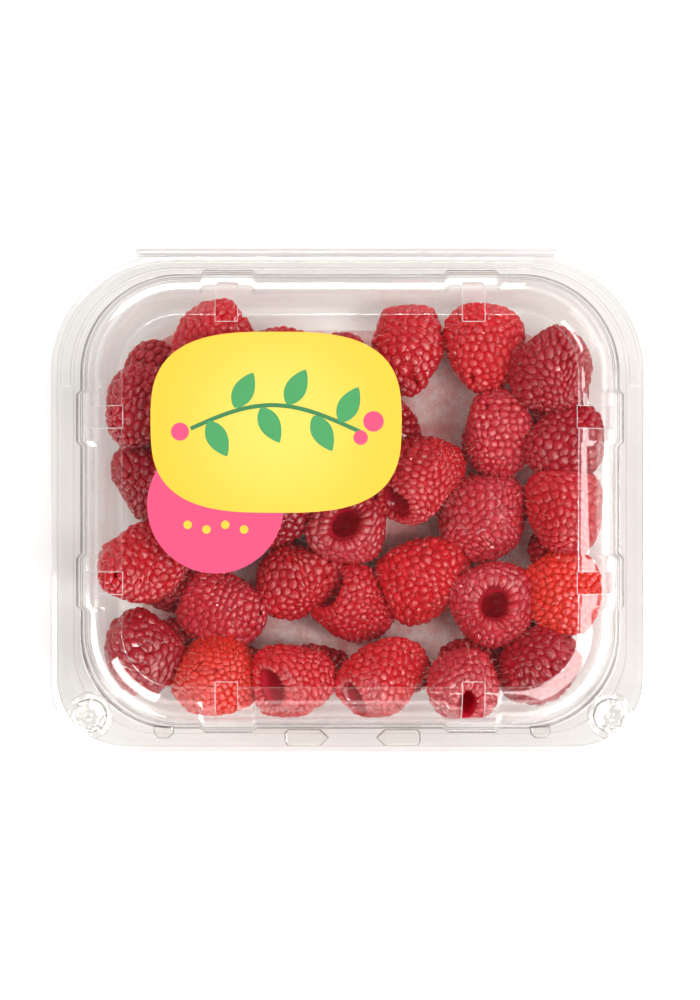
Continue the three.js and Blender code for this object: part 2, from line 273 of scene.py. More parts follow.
def cutBy(piece, boxes):
    # each box is (low corner, high corner) in millimetres
    tool = bpy.data.meshes.new("cutter")
    shape = bmesh.new()
    for low, high in boxes:
        made = bmesh.ops.create_cube(shape, size=1.0)["verts"]
        for vert in made:
            vert.co = Vector([(l + (c + 0.5) * (h - l)) * mm for c, l, h in zip(vert.co, low, high)])
    shape.to_mesh(tool)
    shape.free()
    cutter = bpy.data.objects.new("cutter", tool)
    bpy.context.collection.objects.link(cutter)
    modifier = piece.modifiers.new("cut", "BOOLEAN")
    modifier.operation, modifier.solver, modifier.object = "DIFFERENCE", "EXACT", cutter
    depsgraph = bpy.context.evaluated_depsgraph_get()
    cutMesh = bpy.data.meshes.new_from_object(piece.evaluated_get(depsgraph))
    cutMesh.set_sharp_from_angle(angle=math.radians(35))
    piece.modifiers.clear()
    old = piece.data
    piece.data = cutMesh
    bpy.data.meshes.remove(old)
    bpy.data.objects.remove(cutter)


# thermoformed PET: glossy, nearly colourless, a little greyer where the wall turns edge-on

petFinish = {
    "roughness": 0.02,
    "mirror": 0.036,       # share mirrored where the sheet faces the eye
    "rippleSize": 9.0,     # mm between the faint ripples that drawing leaves in the sheet
    "rippleHeight": 0.012,  # mm
    "rippleStrength": 0.6,
    "milk": "#F9F8F7",
}


def clearPet(name, faceOn, edgeOn, milkFace, milkEdge, mirrorEdge=0.6):
    material, tree = newMaterial(name)
    place = addNode(tree, "TexCoord").outputs["Object"]
    facing = addNode(tree, "LayerWeight", {"Blend": 0.5}).outputs["Facing"]
    steep = addNode(tree, "Math", {0: facing, 1: 4.0}, operation="POWER").outputs[0]
    tint = addNode(tree, "Mix", {"Factor": steep, "A": linearColor(faceOn), "B": linearColor(edgeOn)},
                   data_type="RGBA")
    fifth = addNode(tree, "Math", {0: facing, 1: 5.0}, operation="POWER").outputs[0]
    mirror = addNode(tree, "Math", {0: fifth, 1: mirrorEdge, 2: petFinish["mirror"]},
                     operation="MULTIPLY_ADD")
    waves = addNode(tree, "TexNoise", {"Vector": place, "Scale": 1 / (petFinish["rippleSize"] * mm),
                                       "Detail": 1.0})
    bump = addNode(tree, "Bump", {"Height": waves.outputs[0], "Strength": petFinish["rippleStrength"],
                                  "Distance": petFinish["rippleHeight"] * mm})
    through = addNode(tree, "BsdfTransparent", {"Color": tint.outputs["Result"]})
    milk = addNode(tree, "BsdfDiffuse", {"Color": linearColor(petFinish["milk"])})
    share = addNode(tree, "Math", {0: steep, 1: milkEdge - milkFace, 2: milkFace},
                    operation="MULTIPLY_ADD")
    sheet = addNode(tree, "MixShader", {0: share.outputs[0], 1: through.outputs[0], 2: milk.outputs[0]})
    gloss = addNode(tree, "BsdfGlossy", {"Color": (1, 1, 1, 1), "Roughness": petFinish["roughness"],
                                         "Normal": bump.outputs[0]})
    shader = addNode(tree, "MixShader", {0: mirror.outputs[0], 1: sheet.outputs[0], 2: gloss.outputs[0]})
    finishMaterial(tree, shader)
    return material


# crisp, glassy and colourless
lidPet = clearPet("thermoformedPetLid", "#FEFEFD", "#E0DCDB", 0.0, 0.25)
# the same, softer at its walls
trayPet = clearPet("thermoformedPetTray", "#FEFEFD", "#F5F3F2", 0.0, 0.4, 0.3)
# painted shade: a grey line along a fold, standing in for the dark edge that the bent sheet shows
paintedShadeFoldPet = clearPet("thermoformedPetFoldPaintedShade", "#B8B1B0", "#989090", 0.0, 0.0, 0.2)
# painted highlight: a pale milky line where the sheet bends
paintedHighlightPet = clearPet("thermoformedPetPaintedHighlight", "#FEFEFD", "#F4F2F1", 0.2, 0.4)
# frosted white by the punch
cutPet = clearPet("punchedPetEdge", "#FFFFFF", "#FFFFFF", 0.38, 0.5)
# faint painted shade: a light grey for lines along creases and for the hinge bead
faintShadePet = clearPet("petFaintPaintedShade", "#F4F2F1", "#DEDAD8", 0.0, 0.0, 0.3)
# painted shade: the flat flange tinted a little greyer, for the shaded floor seen through it
flangeShadePet = clearPet("thermoformedPetFlangeShade", "#FDFDFC", "#E0DCDB", 0.0, 0.25)
# a strip's fold number counts from one in this list, and nought is the sheet's own material; the
# list holds the painted shade line, the painted highlight line, the faint painted shade and the flange's
# painted shade
petFolds = [paintedShadeFoldPet, paintedHighlightPet, faintShadePet, flangeShadePet]


# lid

lidSizes = {
    "flange": 7.8,         # mm in from the rim where the dome's own outline starts
    # distance in from the rim, drop from it, corner radius and fold: outside the lip, and inside it
    # to the dome's foot
    "rimRows": [(0, -0.3, 0, 0), (0.12, -0.1, 0, 0), (0.4, 0, 0, 4), (1.15, 0, 0, 4), (1.3, 0, 0, 3)],
    "footRows": [(5.1, 0, 0, 4), (5.25, 0, 0, 3), (6.9, 0, 0.16, 1)],
    "lip": (1.9, 4.3),     # raised lip round the back
    "lipStep": 0.25,
    "lipMargin": 0.08,
    # the same with heights: forming line half way up the wall, ledge and shoulder; the forming line
    # takes the painted shade line and the ledge's edge the painted highlight line
    "wallRows": [(8.0, 29.05, 0, 0), (8.25, 29.55, 0, 1), (9.5, 31.95, 0.2, 2), (11.2, 32.1, 0.18, 0),
                 (12.75, 34.8, 0.12, 0)],
    "pull": (15.0, 37.05),  # what the curve from the shoulder to the flat top bends towards
    "flatEdge": 17.5,
    "bulgeD": (6.5, 6.75, 11.3, 12.7, 14.4, 17.4),  # how the bulges swell and fade up the dome
    "bulgeShare": (0, 1, 1, 0.7, 0.3, 0),
    "frame": 0.09,         # mm, half the width of each vent's punched edge
}


def fromRim(rows, z):
    return [(d, z + drop, r, fold) for d, drop, r, fold in rows]


def lidBand(d):
    start, end = lidSizes["lip"]
    step = lidSizes["lipStep"]
    return float(np.clip((d - start) / step, 0, 1) - np.clip((d - end) / step, 0, 1))


def lidBulge(d):
    return pack["bulge"] * float(np.interp(d, lidSizes["bulgeD"], lidSizes["bulgeShare"]))


def lidProfile():
    z, step, margin = pack["lidRimZ"], lidSizes["lipStep"], lidSizes["lipMargin"]
    flat = fromRim(lidSizes["rimRows"], z)
    for edge in lidSizes["lip"]:
        flat += [(edge - margin, z, 0, 4), (edge, z, 0, 4)]
        flat += [(edge + step, z, 0, 0), (edge + step + margin, z, 0, 4)]
    flat += fromRim(lidSizes["footRows"], z)
    wall = lidSizes["wallRows"]
    edge = (lidSizes["flatEdge"], pack["domeTopZ"])
    first, pull, last = (np.array(spot) for spot in (wall[-1][:2], lidSizes["pull"], edge))
    curve = [tuple((1 - t) ** 2 * first + 2 * t * (1 - t) * pull + t * t * last) + (0, 0)
             for t in np.linspace(0.06, 0.97, 13)]
    return roundCorners(flat + wall + curve + [(*edge, 0.1, 2), (edge[0] + 1.2, edge[1], 0, 0)])


def ventBoxes():
    half, shift = pack["ventSide"] / 2, pack["ventShift"]
    (overIn, overOut), (besideIn, besideOut) = pack["ventOver"], pack["ventBeside"]
    low, high = pack["ventCut"]
    boxes = []
    for sx in (-1, 1):
        for sy in (-1, 1):
            x, y = sx * pack["ventX"], sy * pack["ventY"]
            across = (overIn, overOut) if sy > 0 else (-overOut - shift, -overIn - shift)
            boxes.append(((x - half, across[0], low), (x + half, across[1], high)))
            along = sorted((sx * besideIn, sx * besideOut))
            boxes.append(((along[0], y - half, low), (along[1], y + half, high)))
    return boxes


def threadRound(path, radius, sides=6):
    # thin closed thread along a closed path
    path = np.array(path)
    ahead = np.roll(path, -1, 0) - np.roll(path, 1, 0)
    ahead /= np.linalg.norm(ahead, axis=1)[:, None]
    across = np.cross(ahead, [0, 0, 1.0])
    across /= np.linalg.norm(across, axis=1)[:, None]
    up = np.cross(across, ahead)
    a = np.linspace(0, 2 * math.pi, sides, endpoint=False)
    n = len(path)
    around = np.cos(a)[None, :, None] * across[:, None] + np.sin(a)[None, :, None] * up[:, None]
    points = path[:, None] + radius * around
    i, k = np.meshgrid(np.arange(n), np.arange(sides), indexing="ij")
    i2, k2 = (i + 1) % n, (k + 1) % sides
    quads = np.stack([i * sides + k, i2 * sides + k, i2 * sides + k2, i * sides + k2], -1).reshape(-1, 4)
    return points.reshape(-1, 3), quads


def ventFrame(lid, low, high):
    # the punched rim of one vent, laid on the lid's face
    r = lidSizes["frame"]
    (x0, y0), (x1, y1) = np.array(low[:2]) - r * 0.5, np.array(high[:2]) + r * 0.5
    corners = [(x0, y0), (x1, y0), (x1, y1), (x0, y1), (x0, y0)]
    path = []
    for (xa, ya), (xb, yb) in zip(corners, corners[1:]):
        for t in np.linspace(0, 1, 22)[:-1]:
            x, y = xa + (xb - xa) * t, ya + (yb - ya) * t
            hit, spot, _, _ = lid.ray_cast(Vector((x * mm, y * mm, 0.1)), Vector((0, 0, -1)))
            path.append((x, y, spot.z / mm - 0.1 if hit else pack["lidRimZ"]))
    return threadRound(path, r)


def buildLid():
    near = growPlan(rimPlan, -0.5)
    points, faces, kinds = formedSheet(lidProfile(), lidSizes["flange"], near, footPlan, lidBulge,
                                       lambda d: pack["lipHeight"] * lidBand(d))
    lid = meshObject("lidShell", points, faces, [lidPet] + petFolds, "lid", faceMaterial=kinds)
    bpy.context.view_layer.update()
    frames = [ventFrame(lid, low, high) for low, high in ventBoxes()]
    starts = np.cumsum([0] + [len(p) for p, _ in frames])
    rims = meshObject("lidVentRims", np.concatenate([p for p, _ in frames]),
                      np.concatenate([f + s for (_, f), s in zip(frames, starts)]), [cutPet], "lid")
    cutBy(lid, ventBoxes())
    for piece in (lid, rims):
        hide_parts("lid")
    return lid


lidShell = buildLid()
print("lid: faces", len(lidShell.data.polygons))


# raised details pressed into the lid's flange: round buttons, arrow lugs and small clips

lidDetails = {
    "faceZ": 26.92,
    # radius, height and the fold of the strip that ends there, from its underside out, up and in
    "button": [
        (2.3, 27.45, 0), (2.65, 27.45, 0), (2.75, 27.5, 0), (2.95, 27.8, 0), (3.05, 27.82, 0),
        (5.0, 27.82, 0), (5.1, 27.75, 0), (5.3, 26.95, 0), (5.7, 26.92, 0), (5.68, 27.1, 1),
        (5.45, 28.05, 0), (5.38, 28.16, 1), (5.25, 28.2, 0), (5.15, 28.2, 0), (3.3, 28.2, 0),
        (3.2, 28.2, 0), (3.08, 28.14, 2), (2.9, 27.9, 0), (2.8, 27.85, 1), (2.7, 27.84, 0),
        (1.4, 27.84, 0),
    ],
    # outlines from above; the lug is an arrow that points to the middle
    "lug": [(15.5, -58.6), (16.2, -57.7), (16.2, -55.5), (15.5, -54.6), (7.6, -54.6), (5.6, -56.6),
            (7.6, -58.6)],
    "lugShift": 0.6,
    "lugRise": (1.0, 0.35),    # height, and how far its sides lean in
    "clip": [(-2.4, -53.9), (-2.4, -55.6), (-1.2, -56.8), (1.2, -56.8), (2.4, -55.6), (2.4, -53.9)],
    "clipX": (-44.4, 45.3),
    "clipRise": (0.9, 0.3),
    "sheet": 0.35,             # mm, thickness of a lug or a clip
    "lobes": 8,                # round a button or a stud
    "neck": (2.6, 3.25),       # radii between which the lobes are deep
    "lobeDepth": (0.09, 0.012),  # as a share of the radius, at the neck and elsewhere
}


def raisedPatch(name, corners, rise, body, material):
    # thin raised cap with sloping sides from an outline seen from above
    z0, sheet = lidDetails["faceZ"], lidDetails["sheet"]
    height, slope = rise
    ring = np.array(corners, dtype=float)
    middle = ring.mean(0)
    inset = lambda d: middle + (ring - middle) * (1 - d / np.linalg.norm(ring - middle, axis=1))[:, None]
    under = z0 + height - sheet
    rings = [(inset(slope + 1.2), under), (inset(slope + sheet), under), (inset(0.5), z0), (ring, z0),
             (inset(slope * 0.5), z0 + height * 0.6), (inset(slope), z0 + height * 0.95),
             (inset(slope + 0.3), z0 + height)]
    points, faces = closedLoft([np.column_stack([xy, np.full(len(xy), z)]) for xy, z in rings])
    # the strips round the cap's edge take the painted shade line
    shadedEdge = np.repeat([0, 0, 0, 1, 1, 0], len(ring))
    kinds = np.concatenate([np.tile(shadedEdge, 2), np.zeros(2 * len(ring), dtype=int)])
    return meshObject(name, points, faces, [material, paintedShadeFoldPet], body, smooth=False, faceMaterial=kinds)


def lathePiece(name, x, y, profile, body, material, sides=48):
    # profile rows are radius, height and the fold of the strip that ends there
    a = np.linspace(0, 2 * math.pi, sides, endpoint=False)
    inner, outer = lidDetails["neck"]
    deep, slight = lidDetails["lobeDepth"]
    rings = []
    for r, z, _ in profile:
        lobed = r * (1 + (deep if inner < r < outer else slight) * np.cos(lidDetails["lobes"] * a))
        rings.append(np.column_stack([x + lobed * np.cos(a), y + lobed * np.sin(a), np.full(sides, z)]))
    points, faces = closedLoft(rings)
    kinds = np.concatenate([np.tile(np.repeat([row[2] for row in profile[1:]], sides), 2),
                            np.zeros(2 * sides, dtype=int)])
    return meshObject(name, points, faces, [material] + petFolds, body, faceMaterial=kinds)


for side, name in ((-1, "lidButtonLeft"), (1, "lidButtonRight")):
    piece = lathePiece(name, side * pack["buttonX"], pack["buttonY"], lidDetails["button"], "lid", lidPet)
    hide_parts("lid")

for side, name in ((-1, "lidLugLeft"), (1, "lidLugRight")):
    corners = [(side * x + lidDetails["lugShift"], y) for x, y in lidDetails["lug"]]
    piece = raisedPatch(name, corners[::-side], lidDetails["lugRise"], "lid", lidPet)
    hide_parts("lid")

for centre, name in zip(lidDetails["clipX"], ("lidClipLeft", "lidClipRight")):
    corners = [(x + centre, y) for x, y in lidDetails["clip"]]
    piece = raisedPatch(name, corners, lidDetails["clipRise"], "lid", lidPet)
    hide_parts("lid")


# tray

traySizes = {
    "flange": 9.5,   # mm in from the rim where the mouth's own outline starts
    # distance in from the rim, drop from it, corner radius and fold: the flange
    "flangeRows": [(0, -0.45, 0, 0), (0.12, -0.12, 0, 3), (0.5, 0, 0, 4), (1.2, 0, 0, 4), (4.0, 0, 0, 4),
                   (8.7, 0, 0.15, 0), (9.6, -0.9, 0.25, 0)],
    # the same with heights: stacking step, wall with its three forming lines, each a faint painted shade
    # line, and floor
    "wallRows": [(10.1, 21.8, 0.3, 0), (11.1, 21.0, 0.4, 0), (11.8, 18.0, 0, 0), (11.87, 17.7, 0, 3),
                 (12.6, 14.6, 0, 0), (12.67, 14.3, 0, 3), (13.5, 10.8, 0, 0), (13.57, 10.5, 0, 3),
                 (14.9, 4.9, 3.2, 0), (19.2, 0.46, 1.6, 0), (30.0, 0.46, 0, 0)],
    # radius, height and fold, under each button
    "stud": [(3.4, 26.1, 0), (3.5, 26.8, 0), (3.1, 26.85, 0), (3.2, 27.15, 0), (3.8, 27.1, 0),
             (4.05, 26.7, 1), (4.1, 26.1, 0)],
}


def buildTray():
    rows = fromRim(traySizes["flangeRows"], pack["trayRimZ"])
    profile = roundCorners(rows + traySizes["wallRows"], 5)
    level = lambda d: 0.0
    points, faces, kinds = formedSheet(profile, traySizes["flange"], rimPlan, mouthPlan, level, level)
    tray = meshObject("trayShell", points, faces, [trayPet] + petFolds, "tray", faceMaterial=kinds)
    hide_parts("base_tray")
    return tray


trayShell = buildTray()
print("tray: faces", len(trayShell.data.polygons))

hinge = {
    "radius": 0.78,
    "sides": 16,
    # how far in from its ends the bead swells to its full width, and the width on the way
    "ends": (0.0, 0.25, 0.6, 1.2),
    "swell": (0.5, 0.82, 0.96, 1.0),
    "inset": 0.6,
    # front, back, bottom and top of the web and of the painted shade line along its crease
    "hingeWeb": (56.6, 59.0, 25.72, 26.05),
    "hingeCreaseShade": (58.02, 58.34, 26.06, 26.12),
}


def buildHinge():
    # living hinge: a folded bead with a short web to the tray's flange, and a painted shade line along
    # the crease
    a = np.linspace(0, 2 * math.pi, hinge["sides"], endpoint=False)
    ends = np.array(hinge["ends"])
    xs = np.concatenate([pack["hingeLeft"] + ends, pack["hingeRight"] - ends[::-1]])
    swell = hinge["swell"] + hinge["swell"][::-1]
    y, z = hinge["radius"] * np.cos(a), hinge["radius"] * np.sin(a)
    rings = [np.column_stack([np.full(len(a), x), pack["hingeY"] + s * y, pack["hingeZ"] + s * z])
             for x, s in zip(xs, swell)]
    points, faces = closedLoft(rings)
    bead = meshObject("hingeBead", points, faces, [faintShadePet], "tray")
    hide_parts("base_tray")
    x0, x1 = pack["hingeLeft"] + hinge["inset"], pack["hingeRight"] - hinge["inset"]
    for name, material in (("hingeWeb", trayPet), ("hingeCreaseShade", faintShadePet)):
        y0, y1, low, high = hinge[name]
        strip = [(x0, y0), (x1, y0), (x1, y1), (x0, y1)]
        points, faces = closedLoft([np.column_stack([strip, np.full(4, z)]) for z in (low, high)])
        piece = meshObject(name, points, faces, [material], "tray", smooth=False)
        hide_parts("base_tray")


buildHinge()
for side, name in ((-1, "trayStudLeft"), (1, "trayStudRight")):
    stud = lathePiece(name, side * pack["buttonX"], pack["buttonY"], traySizes["stud"], "tray", trayPet)
    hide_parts("base_tray")


# absorbent pad: embossed cellulose, matt and fibrous, with juice stains

padShape = {
    "plan": (51.4, -42.2, 42.0, 12.0, 12.0),
    "low": 0.85,         # underside and upper face
    "high": 2.45,
    "side": ((-0.7, 0.0), (-0.1, 0.35), (0.0, 0.9)),  # how far out and how high, up its side
    "quilt": 6.5,        # mm between embossed points
    "quiltDepth": 0.45,
    "quiltWidth": 1.5,
    "lumps": ((0.08, 5, 9), (0.05, 6, 3)),  # height in mm, seed, mm across
    "rings": 46,
}
padFinish = {
    # the pad's pink is partly juice and partly red light from the berries, painted in
    "cellulose": "#FFF0EE",
    "shade": "#EBB0AD",     # painted shade between the tufts, pink with juice that has soaked in
    "stain": "#DA7C79",
    "fibre": 0.9,           # mm, drawn coarser than real fibres so that they show
    "tuft": 3.2,            # mm across
    "blot": 21.0,           # mm across a stain
    "fibreDepth": 0.25,     # mm
}


def padMaterial():
    material, tree = newMaterial("embossedCellulosePad")
    place = addNode(tree, "TexCoord").outputs["Object"]
    # matt and fluffy, with pink patches where juice has spread
    fibres = addNode(tree, "TexNoise", {"Vector": place, "Scale": 1 / (padFinish["fibre"] * mm),
                                        "Detail": 5.0, "Roughness": 0.7, "Distortion": 1.4})
    blot = addNode(tree, "TexNoise", {"Vector": place, "Scale": 1 / (padFinish["blot"] * mm),
                                      "Detail": 4.0, "Roughness": 0.62})
    stain = addNode(tree, "MapRange", {"Value": blot.outputs[0], "From Min": 0.43, "From Max": 0.66,
                                       "To Max": 0.85}, interpolation_type="SMOOTHSTEP")
    tufts = addNode(tree, "TexNoise", {"Vector": place, "Scale": 1 / (padFinish["tuft"] * mm),
                                       "Detail": 3.0, "Roughness": 0.6})
    both = addNode(tree, "Math", {0: fibres.outputs[0], 1: tufts.outputs[0]}, operation="ADD")
    # painted shade: where the fibre noise is low, and the bump sinks the face, it takes the shade colour
    pale = addNode(tree, "MapRange", {"Value": both.outputs[0], "From Min": 0.78, "From Max": 1.22})
    base = addNode(tree, "Mix", {"Factor": pale.outputs[0], "A": linearColor(padFinish["shade"]),
                                 "B": linearColor(padFinish["cellulose"])}, data_type="RGBA")
    wet = addNode(tree, "Mix", {"Factor": stain.outputs[0], "A": base.outputs["Result"],
                                "B": linearColor(padFinish["stain"])}, data_type="RGBA")
    bump = addNode(tree, "Bump", {"Height": fibres.outputs[0], "Strength": 0.7,
                                  "Distance": padFinish["fibreDepth"] * mm})
    shader = addNode(tree, "BsdfPrincipled", {"Base Color": wet.outputs["Result"], "Roughness": 0.92,
                                              "Sheen Weight": 0.2, "Sheen Roughness": 0.6})
    finishMaterial(tree, shader, bump)
    return material


def buildPad():
    full = np.array(padShape["plan"])
    edge = outline(growPlan(full, -0.6), 0)[:, :2]
    low, q = padShape["low"], padShape["quilt"]
    rings = [outline(growPlan(full, out), low + up) for out, up in padShape["side"]]
    for share in np.linspace(1, 0.02, padShape["rings"]):
        xy = edge * share + np.array([0, -0.1]) * (1 - share)
        across, up = (xy[:, 0] + 0.5 * q * (np.floor(xy[:, 1] / q) % 2)) / q, xy[:, 1] / q
        off = np.hypot(across - np.round(across), up - np.floor(up) - 0.5) * q
        height = padShape["high"] - padShape["quiltDepth"] * np.exp(-(off / padShape["quiltWidth"]) ** 2)
        spots = np.column_stack([xy, np.zeros(len(xy))])
        height += sum(lump * valueNoise(spots, seed, size) for lump, seed, size in padShape["lumps"])
        height -= 0.5 * smoothStep((share - 0.97) / 0.03)
        rings.append(np.column_stack([xy, height]))
    points, faces = closedLoft(rings)
    pad = meshObject("absorbentPad", points, faces, [padMaterial()], "tray")
    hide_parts("pad")


buildPad()
print("pad done")


# raspberries

berryLook = {
    "floor": 2.9,           # mm, between which berries are settled
    "ceiling": 31.4,
    "lowest": 2.75,         # mm, the pad's and the lid's faces that nothing passes
    "highest": 32.6,
    "wallFrom": (21, 0.8, 0.235),  # height of the tray's step, gap there, and lean of the wall below it
    "wallShare": 0.88,      # share of a berry's radius that stays clear of the wall
    # heights, and how far out from the mouth's outline the room ends at each
    "wallLevels": (2.9, 4.6, 20.8, 21.8, 25.4, 27.6, 30.6, 32.4),
    "wallInsets": (-6.6, -5.9, -2.1, -0.9, -0.5, -0.5, -1.9, -4.6),
    "softness": 0.7,        # mm over which a berry gives way to the plastic it lies against
    "nestling": 0.82,       # how near two berries lie, as a share of their radii
    "hollow": 0.27,         # radius of the hollow as a share of the berry's
    "wideOpen": 1.35,       # times that where the berry lies on its side
    "standing": 55,         # degrees up or down from which a berry counts as standing
    "taper": (0.12, 0.4),   # least and most that a tip narrows
    "stretch": ((0.94, 1.03), (0.95, 1.04)),  # least and most across, one way and the other
    "finer": 0.86,          # drupelet width as a share of the listed one
    "uneven": 0.17,         # spread of the drupelets' sizes
    "sizeRange": (0.7, 1.4),
    "rowStep": 0.87,        # rows lie this share of a drupelet's width apart
    "jitter": 0.3,
    "passes": 12,           # rounds of pushing drupelets apart
    "overlap": 0.575,       # half width of a cushion as a share of its room
    "rimOverlap": 0.68,
    "standOut": 0.15,       # mm that a cushion's top lies above the berry's outline
    "roundness": 0.96,      # below one, a cushion is a little boxy
    "bend": 0.9,            # mm that a berry's form strays from its round
    "bendSize": 15,         # mm between its bends
    "relief": 0.84,         # height of a drupelet's cushion as a share of its half width
    # points in each ring of a cushion, and degrees down from its top to the rings
    "sides": 10,
    "levels": (24, 48, 73, 102),
    "lowSides": 7,          # fewer on the berries below, which hardly show
    "lowLevels": (38, 80),
    "rimWidth": 1.45,       # mm, the long drupelets that fold over into the hollow
    "rimHalfLength": 2.3,
    "rimRelief": 0.8,
    "hairShare": (0.15, 0.6, 0.9),  # of drupelets that keep theirs: low berries, the rest, rims
    "hairLength": (1.0, 2.7),  # mm, shortest and longest
    "hairWidth": 0.036,     # mm from its middle to its edge at the root
    "hairTaper": ((0, 1), (0.35, 0.8), (0.7, 0.55), (1.0, 0.15)),  # share of its length and of its width
    "hairBow": (0.35, 0.8),  # how much it bows down and aside, as a share of its length
    "hairColor": "#F8D8CA",
    "coreSides": 28,
}
berryKinds = {
    # flesh; crease colour, a painted glow of light through the flesh in the creases, and on the low
    # berries painted shade there; pale bloom on the drupelets
    "ripeRed": ("#C81521", "#DE1C28", "#DE4248"),
    "freshRed": ("#D21A24", "#EA2630", "#E84C4C"),
    "darkRed": ("#AC0D20", "#C41128", "#C63848"),
    "brightRed": ("#E82A1C", "#F43A26", "#F05844"),
    "rosyRed": ("#C62432", "#DA2E40", "#E46870"),
    "lowRed": ("#B21020", "#A80E1E", "#CC3C4C"),
}
# middle x and y, widest radius, length, where the tip points (degrees round from +X, degrees up),
# drupelet width, kind; lower berries come first
berryList = [
    (-43, -20.1, 8, 18, -30, 0, 2.9, "lowRed"), (-24.1, -45, 7.5, 18, 0, 5, 2.9, "lowRed"),
    (-46.5, 31, 8.6, 18, 120, 0, 2.9, "lowRed"), (-44, -37, 7.4, 16, 60, 0, 2.9, "lowRed"),
    (-7, -42, 7.2, 16, 20, 0, 2.9, "lowRed"), (12, -41, 7.2, 16, 0, 0, 2.9, "lowRed"),
    (31, -40, 7.6, 17, 20, 0, 2.9, "lowRed"), (48, -34, 7.6, 16, 90, 0, 2.9, "lowRed"),
    (52, -9, 7.6, 17, 80, 0, 2.9, "lowRed"), (-16.1, 34.4, 9.5, 20, 30, 20, 2.9, "ripeRed"),
    (55, 25.5, 7.6, 17, 40, 0, 2.9, "lowRed"), (8.6, 15, 9, 20, 100, 10, 2.9, "lowRed"),
    (-35, 17.5, 9.5, 21, 10, 10, 2.9, "lowRed"), (-20, 14.5, 9.4, 20, 140, 15, 2.9, "lowRed"),
    (-2.5, 31, 9.2, 20, 80, 20, 2.9, "darkRed"), (-31, -5.5, 9.6, 20, 250, 10, 2.9, "freshRed"),
    (-16.5, -1.5, 9.2, 20, 30, 25, 2.9, "darkRed"), (-4.5, 15.5, 9.4, 20, 0, 20, 2.9, "lowRed"),
    (-11.7, -19.1, 9.2, 20, 15, 15, 2.7, "ripeRed"), (1.8, -26.2, 9.3, 20, -36, -30, 2.6, "ripeRed"),
    (-30.4, -26.9, 9.8, 21, -20, 10, 2.6, "rosyRed"), (18.8, -18.4, 9.7, 21.5, 20, 10, 2.8, "freshRed"),
    (-12, -43.9, 9.6, 20, 10, -42, 2.7, "freshRed"), (8.8, -42, 9.6, 23.5, 34, -33, 2.9, "freshRed"),
    (27.2, -44.2, 8.8, 19, 100, -60, 2.7, "rosyRed"), (35.2, -25.2, 10.8, 20, 0, -86, 2.6, "rosyRed"),
    (-0.6, -6.3, 10.4, 19, 0, -86, 2.7, "rosyRed"), (17.8, 6.3, 9.6, 24, 42, -32, 2.7, "ripeRed"),
    (13.9, 36.3, 8.9, 22, -95, 28, 3.1, "ripeRed"), (32.8, 36, 10, 21, -90, 20, 2.7, "freshRed"),
    (36.2, 17.4, 10.2, 21, 90, 35, 2.6, "rosyRed"), (49.3, 31.8, 10.3, 21, 60, 55, 2.8, "darkRed"),
    (52.4, 13.1, 9.6, 20, 200, 20, 2.8, "darkRed"), (51.7, -3.9, 9.4, 20, -90, 20, 2.8, "ripeRed"),
    (33.8, -2.9, 11, 22, 20, 50, 2.7, "rosyRed"), (52.6, -23.5, 9.6, 20, -60, 20, 2.7, "brightRed"),
    (46.7, -40.2, 10.4, 21, 30, 70, 3.1, "darkRed"), (-34.3, 37, 10.2, 21, 215, 10, 2.9, "ripeRed"),
    (-51, 21.5, 9.4, 20, 250, 30, 2.9, "darkRed"), (-48.3, 5.3, 10.4, 22, 170, 25, 2.9, "darkRed"),
    (-51.3, -15.7, 9.8, 20, 200, 30, 2.9, "ripeRed"), (-49.8, -36.3, 10.4, 21, 60, 70, 3.4, "darkRed"),
    (-32.8, -43.8, 10.4, 21, 100, 75, 2.3, "brightRed"),
]


def wallPlan(z):
    step, gap, lean = berryLook["wallFrom"]
    return growPlan(mouthPlan, -gap - lean * max(step - z, 0))


def keepInside(x, y, z, radius):
    # moves a ball in from the tray's wall until it has room
    halfW, front, back, rFront, _ = wallPlan(z)
    middle = (front + back) / 2
    px, py = abs(x) - (halfW - rFront), abs(y - middle) - ((back - front) / 2 - rFront)
    ox, oy = max(px, 0), max(py, 0)
    excess = math.hypot(ox, oy) + min(max(px, py), 0) - rFront + berryLook["wallShare"] * radius
    if excess <= 0:
        return x, y
    along = math.hypot(ox, oy) or 1
    nx, ny = (ox / along, oy / along) if ox or oy else ((1, 0) if px > py else (0, 1))
    return x - math.copysign(nx * excess, x), y - math.copysign(ny * excess, y - middle)


def settleBerries(rows):
    # lets each berry down until it rests on the pad or on the berries already there
    placed = []
    for x, y, radius, length, turn, up, pitch, kind in rows:
        room = radius + max(length / 2 - radius, 0) * abs(math.sin(math.radians(up)))
        z = berryLook["floor"] + radius
        for _ in range(2):
            for other in placed:
                reach = berryLook["nestling"] * (radius + other["radius"])
                apart = math.hypot(x - other["at"][0], y - other["at"][1])
                if apart < reach:
                    z = max(z, other["at"][2] + math.sqrt(reach ** 2 - apart ** 2))
            z = min(z, berryLook["ceiling"] - room)
            x, y = keepInside(x, y, z, radius)
        wide = 1.0 if abs(up) > berryLook["standing"] else berryLook["wideOpen"]
        placed.append({"at": (x, y, z), "radius": radius, "length": length, "turn": turn, "up": up,
                       "pitch": pitch, "kind": kind, "open": wide})
    return placed


